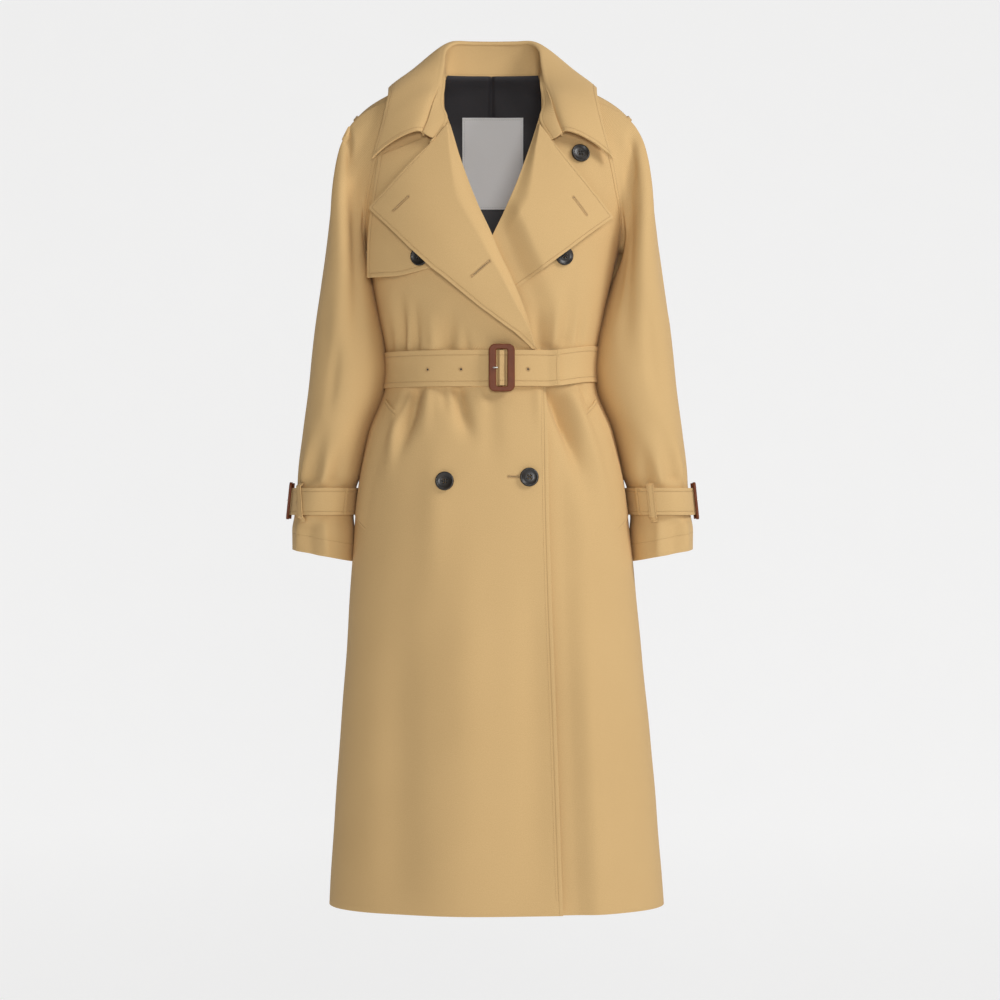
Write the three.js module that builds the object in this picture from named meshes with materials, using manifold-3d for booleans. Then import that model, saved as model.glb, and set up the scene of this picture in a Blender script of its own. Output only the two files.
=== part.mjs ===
// Double-breasted trench coat in its worn shape with nobody inside. Millimetres, +Z up, front towards -Y.
// Origin: between the shoulders, where the shoulder line meets the neck, and where a wearer holds it.
// "Right" and "left" in the names are the wearer's; the wearer's right is at -X.
import * as THREE from "three";
import { mergeVertices } from "three/addons/utils/BufferGeometryUtils.js";
import Module from "manifold-3d";

// Driving dimensions
const shellWall = 2;
const firmWall = 2.6;
const seamGap = 0.3;
const layGap = 0.9;
const centreX = -2;
const underarmZ = -225;
const capStartZ = -265;
const beltTopZ = -367;
const beltBottomZ = -418;
const beltWall = 2.6;
const beltRaise = 9;
const strapBump = 4.2;
const beltEndX = 88;
const buckleX = 10.5;
const cuffStrapTopZ = -558;
const cuffStrapBottomZ = -596;
const buttonRadius = 13;
const buttonHeight = 4.4;
const labelWidth = 89;
const labelHeight = 133;
const overlapGap = 1.6;
const boxiness = 2.3;

// Torso rings from hem to neck: height, sideways shift, half width, and y of front, back and widest point
const torsoRings = [
  { z: -1146, shift: 4, half: 237, front: -142, back: 142, mid: 0 },
  { z: -1000, shift: 2.5, half: 227, front: -138, back: 136, mid: 0 },
  { z: -830, shift: 0.5, half: 212.5, front: -134, back: 130, mid: 0 },
  { z: -656, shift: -2, half: 198, front: -131, back: 126, mid: 0 },
  { z: -560, shift: -3.5, half: 189.5, front: -128, back: 121, mid: 0 },
  { z: -480, shift: -4, half: 173.5, front: -120, back: 110, mid: 0 },
  { z: -418, shift: -4.5, half: 150, front: -103, back: 92, mid: 0 },
  { z: -392, shift: -4.5, half: 147, front: -101, back: 88, mid: 0 },
  { z: -367, shift: -4.5, half: 149, front: -102, back: 89, mid: 0 },
  { z: -315, shift: -4, half: 159, front: -112, back: 96, mid: 0 },
  { z: -265, shift: -3, half: 170, front: -118, back: 103, mid: 1 },
  { z: -225, shift: -2, half: 178, front: -118, back: 107, mid: 2 },
  { z: -185, shift: -2, half: 189, front: -114, back: 108, mid: 3 },
  { z: -140, shift: -2, half: 201, front: -107, back: 107, mid: 4 },
  { z: -98, shift: -2, half: 209, front: -95, back: 105, mid: 5 },
  { z: -57, shift: -2, half: 210, front: -76, back: 99, mid: 6 },
  { z: -35, shift: -2, half: 205, front: -61, back: 94, mid: 7 },
  { z: -18, shift: -2, half: 190, front: -47, back: 88, mid: 9 },
  { z: 6, shift: -2, half: 150, front: -22, back: 78, mid: 13 },
  { z: 20, shift: -2, half: 112, front: -4, back: 71, mid: 21 },
  { z: 34, shift: -2, half: 77, front: 20, back: 61, mid: 41 },
];

// Inner edges of the two fronts: closing edge below the belt, the lapel's roll line above it, then the neckline
const frontEdges = [
  { z: -1146, right: 95.5, left: -84 },
  { z: -1014, right: 91, left: -82 },
  { z: -850, right: 85.5, left: -80 },
  { z: -712, right: 80, left: -80 },
  { z: -575, right: 76, left: -80 },
  { z: -418, right: 73.5, left: -80 },
  { z: -392, right: 69, left: -79 },
  { z: -367, right: 59, left: -75 },
  { z: -335, right: 50, left: -60 },
  { z: -305, right: 40, left: -46 },
  { z: -264, right: 22.5, left: -28 },
  { z: -235, right: 8.5, left: -14 },
  { z: -201, right: -6, left: 2 },
  { z: -170, right: -20.5, left: 17 },
  { z: -135, right: -34.5, left: 32 },
  { z: -96, right: -48, left: 46 },
  { z: -72, right: -55, left: 54 },
  { z: -48, right: -62, left: 61 },
  { z: -20, right: -70, left: 67 },
  { z: 3, right: -70.5, left: 66.5 },
];

// Raglan seams, as the distance from the centre line at each height
const raglanFront = [
  { z: -225, reach: 178 },
  { z: -203, reach: 180 },
  { z: -175, reach: 177.5 },
  { z: -140, reach: 171 },
  { z: -105, reach: 164 },
  { z: -72, reach: 156 },
  { z: -44, reach: 150 },
  { z: -20, reach: 144 },
  { z: -6, reach: 128 },
  { z: 3, reach: 90 },
];
const raglanBack = [
  { z: -225, reach: 178 },
  { z: -203, reach: 179 },
  { z: -175, reach: 175 },
  { z: -140, reach: 166 },
  { z: -105, reach: 155 },
  { z: -72, reach: 142 },
  { z: -44, reach: 128 },
  { z: -20, reach: 113 },
  { z: 3, reach: 96 },
  { z: 20, reach: 82 },
  { z: 34, reach: 71 },
];

// Heights of the panel rows below the underarm
const skirtRows = [
  -1146, -1060, -965, -870, -780, -700, -630, -570, -520, -480, -446, -418, -392, -367, -345, -318, -292, -272, -248,
];

// Folds of the shell: face, x and z where each starts and ends, half width, depth (ridges are positive),
// and the shares of its length over which it grows and dies away
const folds = [
  { face: "front", x0: -130, z0: -372, x1: -133, z1: -262, width: 9, depth: -8, rise: 0.1, fade: 0.8 },
  { face: "front", x0: -108, z0: -372, x1: -110, z1: -275, width: 7, depth: -6, rise: 0.1, fade: 0.8 },
  { face: "front", x0: -64, z0: -372, x1: -62, z1: -290, width: 10, depth: -7, rise: 0.1, fade: 0.7 },
  { face: "front", x0: 70, z0: -372, x1: 60, z1: -300, width: 8, depth: -6, rise: 0.1, fade: 0.6 },
  { face: "front", x0: 100, z0: -366, x1: 108, z1: -250, width: 9, depth: -6, rise: 0.1, fade: 0.8 },
  { face: "front", x0: -106, z0: -414, x1: -132, z1: -520, width: 9, depth: -9, rise: 0.08, fade: 0.7 },
  { face: "front", x0: -50, z0: -414, x1: -29, z1: -510, width: 13, depth: -7, rise: 0.08, fade: 0.6 },
  { face: "front", x0: 82, z0: -414, x1: 148, z1: -640, width: 13, depth: -12, rise: 0.06, fade: 0.85 },
  { face: "front", x0: -132, z0: -424, x1: -145, z1: -560, width: 9, depth: 4, rise: 0.3, fade: 0.7 },
  { face: "front", x0: -125, z0: -600, x1: -140, z1: -1260, width: 30, depth: -7, rise: 0.5, fade: 0.3 },
  { face: "front", x0: -30, z0: -540, x1: -48, z1: -1300, width: 38, depth: 6, rise: 0.4, fade: 0.3 },
  { face: "front", x0: 52, z0: -600, x1: 62, z1: -1200, width: 26, depth: -7, rise: 0.4, fade: 0.3 },
  { face: "front", x0: 118, z0: -640, x1: 150, z1: -1260, width: 26, depth: 6, rise: 0.4, fade: 0.3 },
  { face: "back", x0: -96, z0: -414, x1: -120, z1: -590, width: 12, depth: -10, rise: 0.08, fade: 0.8 },
  { face: "back", x0: -38, z0: -414, x1: -46, z1: -540, width: 11, depth: -9, rise: 0.08, fade: 0.7 },
  { face: "back", x0: 24, z0: -414, x1: 20, z1: -620, width: 13, depth: -11, rise: 0.08, fade: 0.8 },
  { face: "back", x0: 88, z0: -414, x1: 112, z1: -560, width: 11, depth: -9, rise: 0.08, fade: 0.7 },
  { face: "back", x0: -78, z0: -371, x1: -84, z1: -250, width: 11, depth: -8, rise: 0.1, fade: 0.8 },
  { face: "back", x0: -12, z0: -371, x1: -16, z1: -285, width: 9, depth: -7, rise: 0.1, fade: 0.7 },
  { face: "back", x0: 62, z0: -371, x1: 72, z1: -240, width: 12, depth: -8, rise: 0.1, fade: 0.8 },
  { face: "back", x0: -110, z0: -640, x1: -140, z1: -1260, width: 32, depth: 8, rise: 0.5, fade: 0.3 },
  { face: "back", x0: -30, z0: -600, x1: -36, z1: -1260, width: 28, depth: -8, rise: 0.5, fade: 0.3 },
  { face: "back", x0: 56, z0: -620, x1: 72, z1: -1260, width: 30, depth: 8, rise: 0.5, fade: 0.3 },
];

// Sleeve rings: height, gap to the torso on the inner side, reach of the outer side, y of front and back
const sleeveRings = [
  { z: -648, gap: 6, outer: 285, front: -46, back: 66 },
  { z: -618, gap: 5.5, outer: 285, front: -47, back: 67 },
  { z: -596, gap: 6, outer: 281.5, front: -46, back: 66 },
  { z: -558, gap: 6, outer: 278, front: -46, back: 66 },
  { z: -536, gap: 5, outer: 277, front: -50, back: 71 },
  { z: -480, gap: 10, outer: 270, front: -54, back: 76 },
  { z: -420, gap: 24, outer: 262.5, front: -58, back: 80 },
  { z: -360, gap: 20, outer: 256, front: -63, back: 83 },
  { z: -310, gap: 10, outer: 250, front: -68, back: 86 },
  { z: -265, gap: 5, outer: 243, front: -73, back: 88 },
];

// Folds of a sleeve: turn round it in degrees (0 faces the torso, 90 the front), and the rest as above
const sleeveFolds = [
  { turn0: 118, z0: -556, turn1: 108, z1: -450, width: 16, depth: -7, rise: 0.12, fade: 0.7 },
  { turn0: 70, z0: -556, turn1: 78, z1: -480, width: 13, depth: -5, rise: 0.12, fade: 0.7 },
  { turn0: 232, z0: -556, turn1: 240, z1: -470, width: 15, depth: -6, rise: 0.12, fade: 0.7 },
  { turn0: 112, z0: -600, turn1: 106, z1: -680, width: 15, depth: -6, rise: 0.15, fade: 0.3 },
  { turn0: 245, z0: -600, turn1: 250, z1: -680, width: 15, depth: -5, rise: 0.15, fade: 0.3 },
  { turn0: 60, z0: -200, turn1: 84, z1: -430, width: 18, depth: -8, rise: 0.3, fade: 0.6 },
  { turn0: 290, z0: -250, turn1: 262, z1: -430, width: 18, depth: -6, rise: 0.3, fade: 0.6 },
];

// Lapels: height on the roll line, and x and z of the outline reached from it
const lapelRightOutline = [
  { roll: -365.5, x: 52.5, z: -365.5 },
  { roll: -335, x: 28, z: -341 },
  { roll: -300, x: -16.5, z: -309 },
  { roll: -262, x: -49, z: -282.5 },
  { roll: -225, x: -84, z: -255 },
  { roll: -190, x: -129, z: -210 },
  { roll: -155, x: -166.5, z: -170 },
  { roll: -122, x: -139.5, z: -139.5 },
  { roll: -88, x: -110.5, z: -108.5 },
  { roll: -53, x: -81, z: -79.5 },
];
const lapelLeftOutline = [
  { roll: -278, x: 8, z: -301 },
  { roll: -262, x: 34, z: -282 },
  { roll: -225, x: 88, z: -239.5 },
  { roll: -190, x: 125, z: -210.5 },
  { roll: -155, x: 158.5, z: -183 },
  { roll: -122, x: 129, z: -142 },
  { roll: -88, x: 98.5, z: -104 },
  { roll: -53, x: 79, z: -80.5 },
];

// Half of the collar from the centre back to the front end, as x (distance from the centre), y and z:
// the stand's top edge (roll line), and the place of the fall's outer edge on the torso with its lift
const collarRoll = [
  { x: 0, y: 66, z: 85 },
  { x: 30, y: 64, z: 85 },
  { x: 54, y: 57, z: 84 },
  { x: 67, y: 39, z: 72 },
  { x: 71, y: 11, z: 45 },
  { x: 75, y: -17, z: 15 },
  { x: 82, y: -50, z: -11 },
  { x: 90, y: -75, z: -43 },
  { x: 97, y: -88, z: -65 },
];
const collarEdge = [
  { face: "back", x: 0, z: 12, lift: 6 },
  { face: "back", x: 52, z: 10, lift: 6 },
  { face: "back", x: 98, z: 4, lift: 9 },
  { face: "back", x: 130, z: 3, lift: 14 },
  { face: "side", x: 0, z: 7, lift: 13 },
  { face: "front", x: 143, z: -12, lift: 10 },
  { face: "front", x: 148, z: -44, lift: 10 },
  { face: "front", x: 154, z: -76, lift: 12 },
  { face: "front", x: 160, z: -102, lift: 13 },
];

// Pocket welts: angle round the torso and height of the four corners
const weltCorners = {
  topOuter: { turn: 69, z: -434 },
  topInner: { turn: 48, z: -456 },
  bottomOuter: { turn: 80, z: -597 },
  bottomInner: { turn: 61, z: -622 },
};

// Buttons: name, x and z on the chest or skirt, and how far the button's back stands off the shell
const buttonPlaces = [
  ["button_collar", 120, -93, 0.3, false],
  ["button_chest_right", -101, -238.5, 4, true],
  ["button_chest_left", 97, -237, 0.4, false],
  ["button_skirt_right", -67, -549, 0.3, false],
  ["button_skirt_left", 48.5, -543.5, 0.3, false],
];

// Buckles: outer width along the strap, outer height, widths of the side bars and of the rails, thickness
const beltBuckle = { width: 36, height: 66, sideBar: 10.2, rail: 7, thickness: 5.3 };
const cuffBuckle = { width: 27, height: 53, sideBar: 6.2, rail: 5.4, thickness: 4 };

// Places round the cuffs in degrees (0 faces the torso, 90 the front, 180 away from the torso)
const cuffBuckleTurn = { right: 177, left: 177 };
const mmPerDegree = 1.05;
const cuffKeeper = { right: { turn: 132, slant: 5 }, left: { turn: 76, slant: 0 } };
const labelTopZ = -19;
const labelWall = 0.8;

const colours = {
  twill: 0xd9bd8e,
  lining: 0x2d2b2f,
  label: 0xebebeb,
  leather: 0x6e3723,
  horn: 0x23201e,
  steel: 0xb9b9b6,
};

const coat = new THREE.Group();

// Small helpers
const degrees = Math.PI / 180;
const mix = (a, b, t) => a + (b - a) * t;
const clamp01 = (t) => Math.min(1, Math.max(0, t));
const smooth = (t) => clamp01(t) * clamp01(t) * (3 - 2 * clamp01(t));
const at = (x, y, z) => new THREE.Vector3(x, y, z);
const steps = (count) => Array.from({ length: count + 1 }, (_, i) => i / count);

// Straight reading of one column of a table whose rows run along "key"
function readLine(table, key, column, value) {
  const rising = table[table.length - 1][key] > table[0][key];
  let i = 0;
  while (i < table.length - 2 && (rising ? value > table[i + 1][key] : value < table[i + 1][key])) i++;
  const t = clamp01((value - table[i][key]) / (table[i + 1][key] - table[i][key]));
  return mix(table[i][column], table[i + 1][column], t);
}

// Smooth reading of one column of a table by height, without overshoot
function readSmooth(table, column, z) {
  const up = table[0].z < table[table.length - 1].z ? table : [...table].reverse();
  const last = up.length - 1;
  const slope = (i) => (up[i + 1][column] - up[i][column]) / (up[i + 1].z - up[i].z);
  const bend = (i) => {
    if (i === 0) return slope(0);
    if (i === last) return slope(last - 1);
    const before = slope(i - 1);
    const after = slope(i);
    return before * after <= 0 ? 0 : (2 * before * after) / (before + after);
  };
  let i = 0;
  while (i < last - 1 && z > up[i + 1].z) i++;
  const step = up[i + 1].z - up[i].z;
  const t = (Math.min(Math.max(z, up[0].z), up[last].z) - up[i].z) / step;
  const a = up[i][column];
  const b = up[i + 1][column];
  return (
    a * (1 + 2 * t) * (1 - t) ** 2 +
    b * t * t * (3 - 2 * t) +
    bend(i) * step * t * (1 - t) ** 2 +
    bend(i + 1) * step * t * t * (t - 1)
  );
}

// Torso: a ring at each height, and points on it by angle (0 centre front, 90 towards +X)
function torsoRing(z, leastHalf) {
  const ring = { z };
  for (const column of ["shift", "half", "front", "back", "mid"]) {
    ring[column] = readSmooth(torsoRings, column, z);
  }
  ring.half = Math.max(ring.half, leastHalf);
  return ring;
}

function foldDepth(x, z, face) {
  let depth = 0;
  for (const fold of folds) {
    if (fold.face !== face) continue;
    const along = (z - fold.z0) / (fold.z1 - fold.z0);
    if (along <= 0 || along >= 1) continue;
    const off = (x - mix(fold.x0, fold.x1, along)) / fold.width;
    const length = smooth(along / fold.rise) * smooth((1 - along) / fold.fade);
    depth += fold.depth * Math.exp(-off * off) * length;
  }
  return depth;
}

function torsoPoint(turn, z, lift, { leastHalf = 0, folded = true } = {}) {
  const ring = torsoRing(z, leastHalf);
  const above = torsoRing(z + 1, leastHalf);
  const s = Math.sin(turn);
  const c = Math.cos(turn);
  const depthOf = (r) => (c > 0 ? r.mid - r.front : r.back - r.mid);
  const depth = depthOf(ring);
  const power = 2 / boxiness;
  const shareX = Math.sign(s) * Math.abs(s) ** power;
  const shareY = -Math.sign(c) * Math.abs(c) ** power;
  const gradX = (Math.sign(s) * Math.abs(shareX) ** (boxiness - 1)) / ring.half;
  const gradY = (Math.sign(shareY) * Math.abs(shareY) ** (boxiness - 1)) / depth;
  const gradZ =
    -gradX * (above.shift - ring.shift) -
    gradY * (above.mid - ring.mid) -
    (Math.abs(shareX) ** boxiness * (above.half - ring.half)) / ring.half -
    (Math.abs(shareY) ** boxiness * (depthOf(above) - depth)) / depth;
  const normal = at(gradX, gradY, gradZ).normalize();
  const x = ring.shift + ring.half * shareX;
  const y = ring.mid + depth * shareY;
  const out = lift + (folded ? foldDepth(x, z, c > 0 ? "front" : "back") : 0);
  return at(x, y, z).addScaledVector(normal, out);
}

function turnAt(x, z, face, leastHalf = 0) {
  const ring = torsoRing(z, leastHalf);
  const share = Math.min(1, Math.abs(x - ring.shift) / ring.half);
  const turn = Math.asin(share ** (boxiness / 2));
  return (x < ring.shift ? -1 : 1) * (face === "front" ? turn : Math.PI - turn);
}

const torsoNormal = (turn, z, style) =>
  torsoPoint(turn, z, 1, style).sub(torsoPoint(turn, z, 0, style)).normalize();

// A place given by x and z on the hanging cloth of the chest, which doesn't follow the waist or the folds
const chestHalf = 198;
function chestPoint(x, z, lift) {
  const hang = mix(0, chestHalf, smooth((z + 372) / 70));
  const style = { leastHalf: hang, folded: false };
  return torsoPoint(turnAt(x, z, "front", hang), z, lift, style);
}

// Closed walls: a grid of outer points and a grid of inner ones, joined round their edges
function wallGeometry(outer, inner, wrapped) {
  const rows = outer.length;
  const columns = outer[0].length;
  const positions = [...outer.flat(), ...inner.flat()].flatMap((p) => [p.x, p.y, p.z]);
  const index = (side, r, c) => side * rows * columns + r * columns + (c % columns);
  const faces = [];
  const quad = (a, b, c, d) => faces.push(a, b, c, a, c, d);
  const spans = wrapped ? columns : columns - 1;
  for (let c = 0; c < spans; c++) {
    for (let r = 0; r < rows - 1; r++) {
      quad(index(0, r, c), index(0, r, c + 1), index(0, r + 1, c + 1), index(0, r + 1, c));
      quad(index(1, r, c), index(1, r + 1, c), index(1, r + 1, c + 1), index(1, r, c + 1));
    }
    quad(index(1, 0, c), index(1, 0, c + 1), index(0, 0, c + 1), index(0, 0, c));
    quad(index(0, rows - 1, c), index(0, rows - 1, c + 1), index(1, rows - 1, c + 1), index(1, rows - 1, c));
  }
  for (let r = 0; r < rows - 1 && !wrapped; r++) {
    quad(index(0, r, 0), index(0, r + 1, 0), index(1, r + 1, 0), index(1, r, 0));
    quad(index(1, r, spans), index(1, r + 1, spans), index(0, r + 1, spans), index(0, r, spans));
  }
  const corner = (i) => at(positions[3 * i], positions[3 * i + 1], positions[3 * i + 2]);
  let volume = 0;
  for (let f = 0; f < faces.length; f += 3) {
    volume += corner(faces[f]).dot(corner(faces[f + 1]).cross(corner(faces[f + 2])));
  }
  if (volume < 0) faces.reverse();
  const geometry = new THREE.BufferGeometry();
  geometry.setAttribute("position", new THREE.Float32BufferAttribute(positions, 3));
  geometry.setIndex(faces);
  geometry.computeVertexNormals();
  return geometry;
}

function addMesh(name, geometry, colour, roughness = 0.85, metalness = 0) {
  const mesh = new THREE.Mesh(
    geometry,
    new THREE.MeshStandardMaterial({ color: colour, roughness, metalness }),
  );
  mesh.name = name;
  coat.add(mesh);
  return mesh;
}

// A sheet whose place function takes (u, v, lift), with its wall between two lifts
function addSheet(name, place, us, vs, lift, wall, colour = colours.twill, wrapped = false) {
  const grid = (height) => vs.map((v) => us.map((u) => place(u, v, height)));
  return addMesh(name, wallGeometry(grid(lift + wall), grid(lift), wrapped), colour);
}

// Shell panels of the body
const tuckedLapelLift = -(2 * shellWall + overlapGap);
const underLift = tuckedLapelLift - shellWall - overlapGap;
function underCover(x, z) {
  const edge = readSmooth(frontEdges, "right", z);
  return 1 - smooth((x - edge - 18) / 34);
}

const raglanRow = (table, z) => (z >= underarmZ ? readLine(table, "z", "reach", z) : Infinity);

function addFront(name, side, columns) {
  const edgeColumn = side < 0 ? "right" : "left";
  const rows = [...skirtRows, ...raglanFront.map((row) => row.z)];
  const place = (u, z, lift) => {
    const reach = raglanRow(raglanFront, z);
    const gap = (seamGap / 2 / torsoRing(z, 0).half) * side;
    const outer = reach === Infinity ? (side * Math.PI) / 2 : turnAt(centreX + side * reach, z, "front");
    const inner = turnAt(readSmooth(frontEdges, edgeColumn, z), z, "front");
    const turn = mix(outer - gap, inner, u);
    const x = torsoPoint(turn, z, 0).x;
    const under = side > 0 ? (underLift + shellWall) * underCover(x, z) : 0;
    return torsoPoint(turn, z, lift + under);
  };
  addSheet(name, place, steps(columns), rows, -shellWall, shellWall);
}

// The back has a seam down its middle, which is turn PI of every torso ring
function addBack(name, side, columns) {
  const rows = [...skirtRows, ...raglanBack.map((row) => row.z)];
  const place = (u, z, lift) => {
    const reach = raglanRow(raglanBack, z);
    const gap = seamGap / 2 / torsoRing(z, 0).half;
    const beside = reach === Infinity ? (side * Math.PI) / 2 : turnAt(centreX + side * reach, z, "back");
    const outer = side > 0 ? beside + gap : 2 * Math.PI + beside - gap;
    const middle = Math.PI - side * gap;
    return torsoPoint(side > 0 ? mix(outer, middle, u) : mix(middle, outer, u), z, lift);
  };
  addSheet(name, place, steps(columns), rows, -shellWall, shellWall);
}

// Neckline on one side, from the back raglan seam round to the front one
function neckArc(side) {
  const back = torsoPoint(turnAt(centreX + side * raglanBack.at(-1).reach, 34, "back"), 34, 0);
  const front = torsoPoint(turnAt(centreX + side * 68.5, 3, "front"), 3, 0);
  const points = [back, at(centreX + side * 69, 24, 32), at(centreX + side * 68.5, 2, 22), front];
  return new THREE.CatmullRomCurve3(points, false, "centripetal");
}

// Sleeves: rings from the cuff to the underarm, then a cap that runs up to the raglan seams
function sleevePlace(side) {
  const ringPoint = (turn, z, lift) => {
    const row = {};
    for (const column of ["gap", "outer", "front", "back"]) {
      row[column] = readSmooth(sleeveRings, column, z);
    }
    const body = torsoRing(z, 0);
    const innerX = centreX * side + body.half + (body.shift - centreX) * side + row.gap - centreX * side;
    const middleX = (innerX + row.outer) / 2;
    const middleY = (row.front + row.back) / 2;
    const s = Math.sin(turn);
    const c = Math.cos(turn);
    const power = 2 / 2.15;
    let fold = 0;
    for (const f of sleeveFolds) {
      const along = (z - f.z0) / (f.z1 - f.z0);
      if (along <= 0 || along >= 1) continue;
      const off = (turn / degrees - mix(f.turn0, f.turn1, along)) / f.width;
      fold += f.depth * Math.exp(-off * off) * smooth(along / f.rise) * smooth((1 - along) / f.fade);
    }
    const halfX = (row.outer - innerX) / 2 + lift + fold;
    const halfY = (row.back - row.front) / 2 + lift + fold;
    const x = middleX - halfX * Math.sign(c) * Math.abs(c) ** power;
    const y = middleY - halfY * Math.sign(s) * Math.abs(s) ** power;
    return at(centreX + side * x, y, z);
  };

  const face = (row, key) => {
    const turn = turnAt(centreX + side * row.reach, row.z, key);
    const point = torsoPoint(turn, row.z, 0);
    const low = smooth((-150 - row.z) / 75);
    return { point, normal: torsoNormal(turn, row.z), low, top: smooth((row.z + 90) / 70) };
  };
  const arc = neckArc(side);
  const neck = (t) => {
    const point = arc.getPoint(t);
    return { point, normal: at(side * 0.45, 0, 0.9).normalize(), low: 0, top: 0.6 };
  };
  const seam = [
    ...raglanFront.map((row) => face(row, "front")),
    neck(1),
    neck(0.66),
    neck(0.33),
    ...raglanBack.slice(1).reverse().map((row) => face(row, "back")),
  ];
  const count = seam.length;
  seam.forEach((knot, i) => {
    const before = seam[(i + count - 1) % count].point;
    const after = seam[(i + 1) % count].point;
    const tangent = after.clone().sub(before).normalize();
    const inward = tangent.cross(knot.normal).multiplyScalar(-side).normalize();
    if (i === 0) inward.set(-side, 0, 0.2).normalize();
    const level = at(-side, 0, 0.15);
    const alongShoulder = at(-side, 0, 0.3);
    knot.arrive = inward.clone().lerp(level, knot.low).lerp(alongShoulder, knot.top).normalize();
    knot.depth = knot.normal.clone().negate().lerp(at(-side * 0.3, 0, 1), knot.low * 0.8).normalize();
    const clear = at(side * 0.55, 0, 0.75).multiplyScalar(knot.low);
    knot.point = knot.point.clone().addScaledVector(inward, -1.6 * seamGap * (1 - knot.low)).add(clear);
  });

  const capPoint = (column, v) => {
    const low = Math.floor(column) % count;
    const high = (low + 1) % count;
    const t = column - Math.floor(column);
    const turn = (column / count) * 2 * Math.PI;
    const start = ringPoint(turn, capStartZ, 0);
    const end = seam[low].point.clone().lerp(seam[high].point, t);
    const arrive = seam[low].arrive.clone().lerp(seam[high].arrive, t).normalize();
    const span = start.distanceTo(end);
    const outerness = Math.sin(turn / 2) ** 2;
    const leave = ringPoint(turn, capStartZ, 0).sub(ringPoint(turn, capStartZ - 25, 0)).normalize();
    const first = start.clone().addScaledVector(leave, span * mix(0.33, 0.85, outerness));
    const second = end.clone().addScaledVector(arrive, -span * mix(0.3, 0.5, outerness));
    return new THREE.CubicBezierCurve3(start, first, second, end).getPoint(v);
  };
  return { ringPoint, capPoint, seam, count };
}

const sleeves = { right: sleevePlace(-1), left: sleevePlace(1) };
const sideOf = { right: -1, left: 1 };
const tubeRows = [-648, -622, -596, -558, -532, -495, -445, -385, -320];
const capRows = 9;

function addSleeve(name) {
  const { ringPoint, capPoint, seam, count } = sleeves[name];
  const columns = seam.map((_, i) => i);
  const turnOf = (i) => (i / count) * 2 * Math.PI;
  const outer = [
    ...tubeRows.map((z) => columns.map((i) => ringPoint(turnOf(i), z, 0))),
    ...steps(capRows).map((v) => columns.map((i) => capPoint(i, v))),
  ];
  const inner = outer.map((row, r) =>
    row.map((point, i) => {
      if (r === outer.length - 1) return point.clone().addScaledVector(seam[i].depth, shellWall);
      const along = outer[r + 1][i].clone().sub(outer[Math.max(0, r - 1)][i]);
      const round = row[(i + 1) % count].clone().sub(row[(i + count - 1) % count]);
      return point.clone().addScaledVector(round.cross(along).normalize(), -sideOf[name] * shellWall);
    }),
  );
  addMesh("sleeve_" + name, wallGeometry(outer, inner, true), colours.twill);
}

// Collar: a stand round the neck and a fall turned down over it
const collarStations = [...collarRoll.keys()].reverse().map((i) => [-1, i]).concat(
  [...collarRoll.keys()].slice(1).map((i) => [1, i]),
);
function gorgePoint(side) {
  const row = side < 0 ? lapelRightOutline.at(-1) : lapelLeftOutline.at(-1);
  return chestPoint(row.x, row.z, 8);
}
function collarFoot(side, i) {
  if (i < 3) return torsoPoint(turnAt(centreX + side * (i * 33), 34, "back"), 34, 0);
  const arc = neckArc(side);
  if (i < 6) return arc.getPoint([0.3, 0.62, 0.92][i - 3]);
  if (i === 6) {
    const edge = readSmooth(frontEdges, side < 0 ? "right" : "left", -22);
    return torsoPoint(turnAt(edge, -22, "front"), -22, 1);
  }
  const edge = readSmooth(frontEdges, side < 0 ? "right" : "left", -48);
  if (i === 7) return chestPoint(edge, -47, 3);
  return gorgePoint(side).add(at(0, 0, 1));
}
const curveOf = (points) => new THREE.CatmullRomCurve3(points, false, "centripetal");
const rollCurve = curveOf(
  collarStations.map(([side, i]) => at(centreX + side * collarRoll[i].x, collarRoll[i].y, collarRoll[i].z)),
);
const footCurve = curveOf(collarStations.map(([side, i]) => collarFoot(side, i)));
const edgeCurve = curveOf(
  collarStations.map(([side, i]) => {
    const row = collarEdge[i];
    if (row.face === "side") return torsoPoint((side * Math.PI) / 2, row.z, row.lift);
    const turn = turnAt(centreX + side * row.x, row.z, row.face);
    return torsoPoint(turn, row.z, row.lift, { folded: false });
  }),
);

function offsetGrid(grid, distance) {
  return grid.map((row, r) =>
    row.map((point, c) => {
      const along = grid[Math.min(r + 1, grid.length - 1)][c].clone().sub(grid[Math.max(r - 1, 0)][c]);
      const across = row[Math.min(c + 1, row.length - 1)].clone().sub(row[Math.max(c - 1, 0)]);
      return point.clone().addScaledVector(across.cross(along).normalize(), distance);
    }),
  );
}

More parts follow.
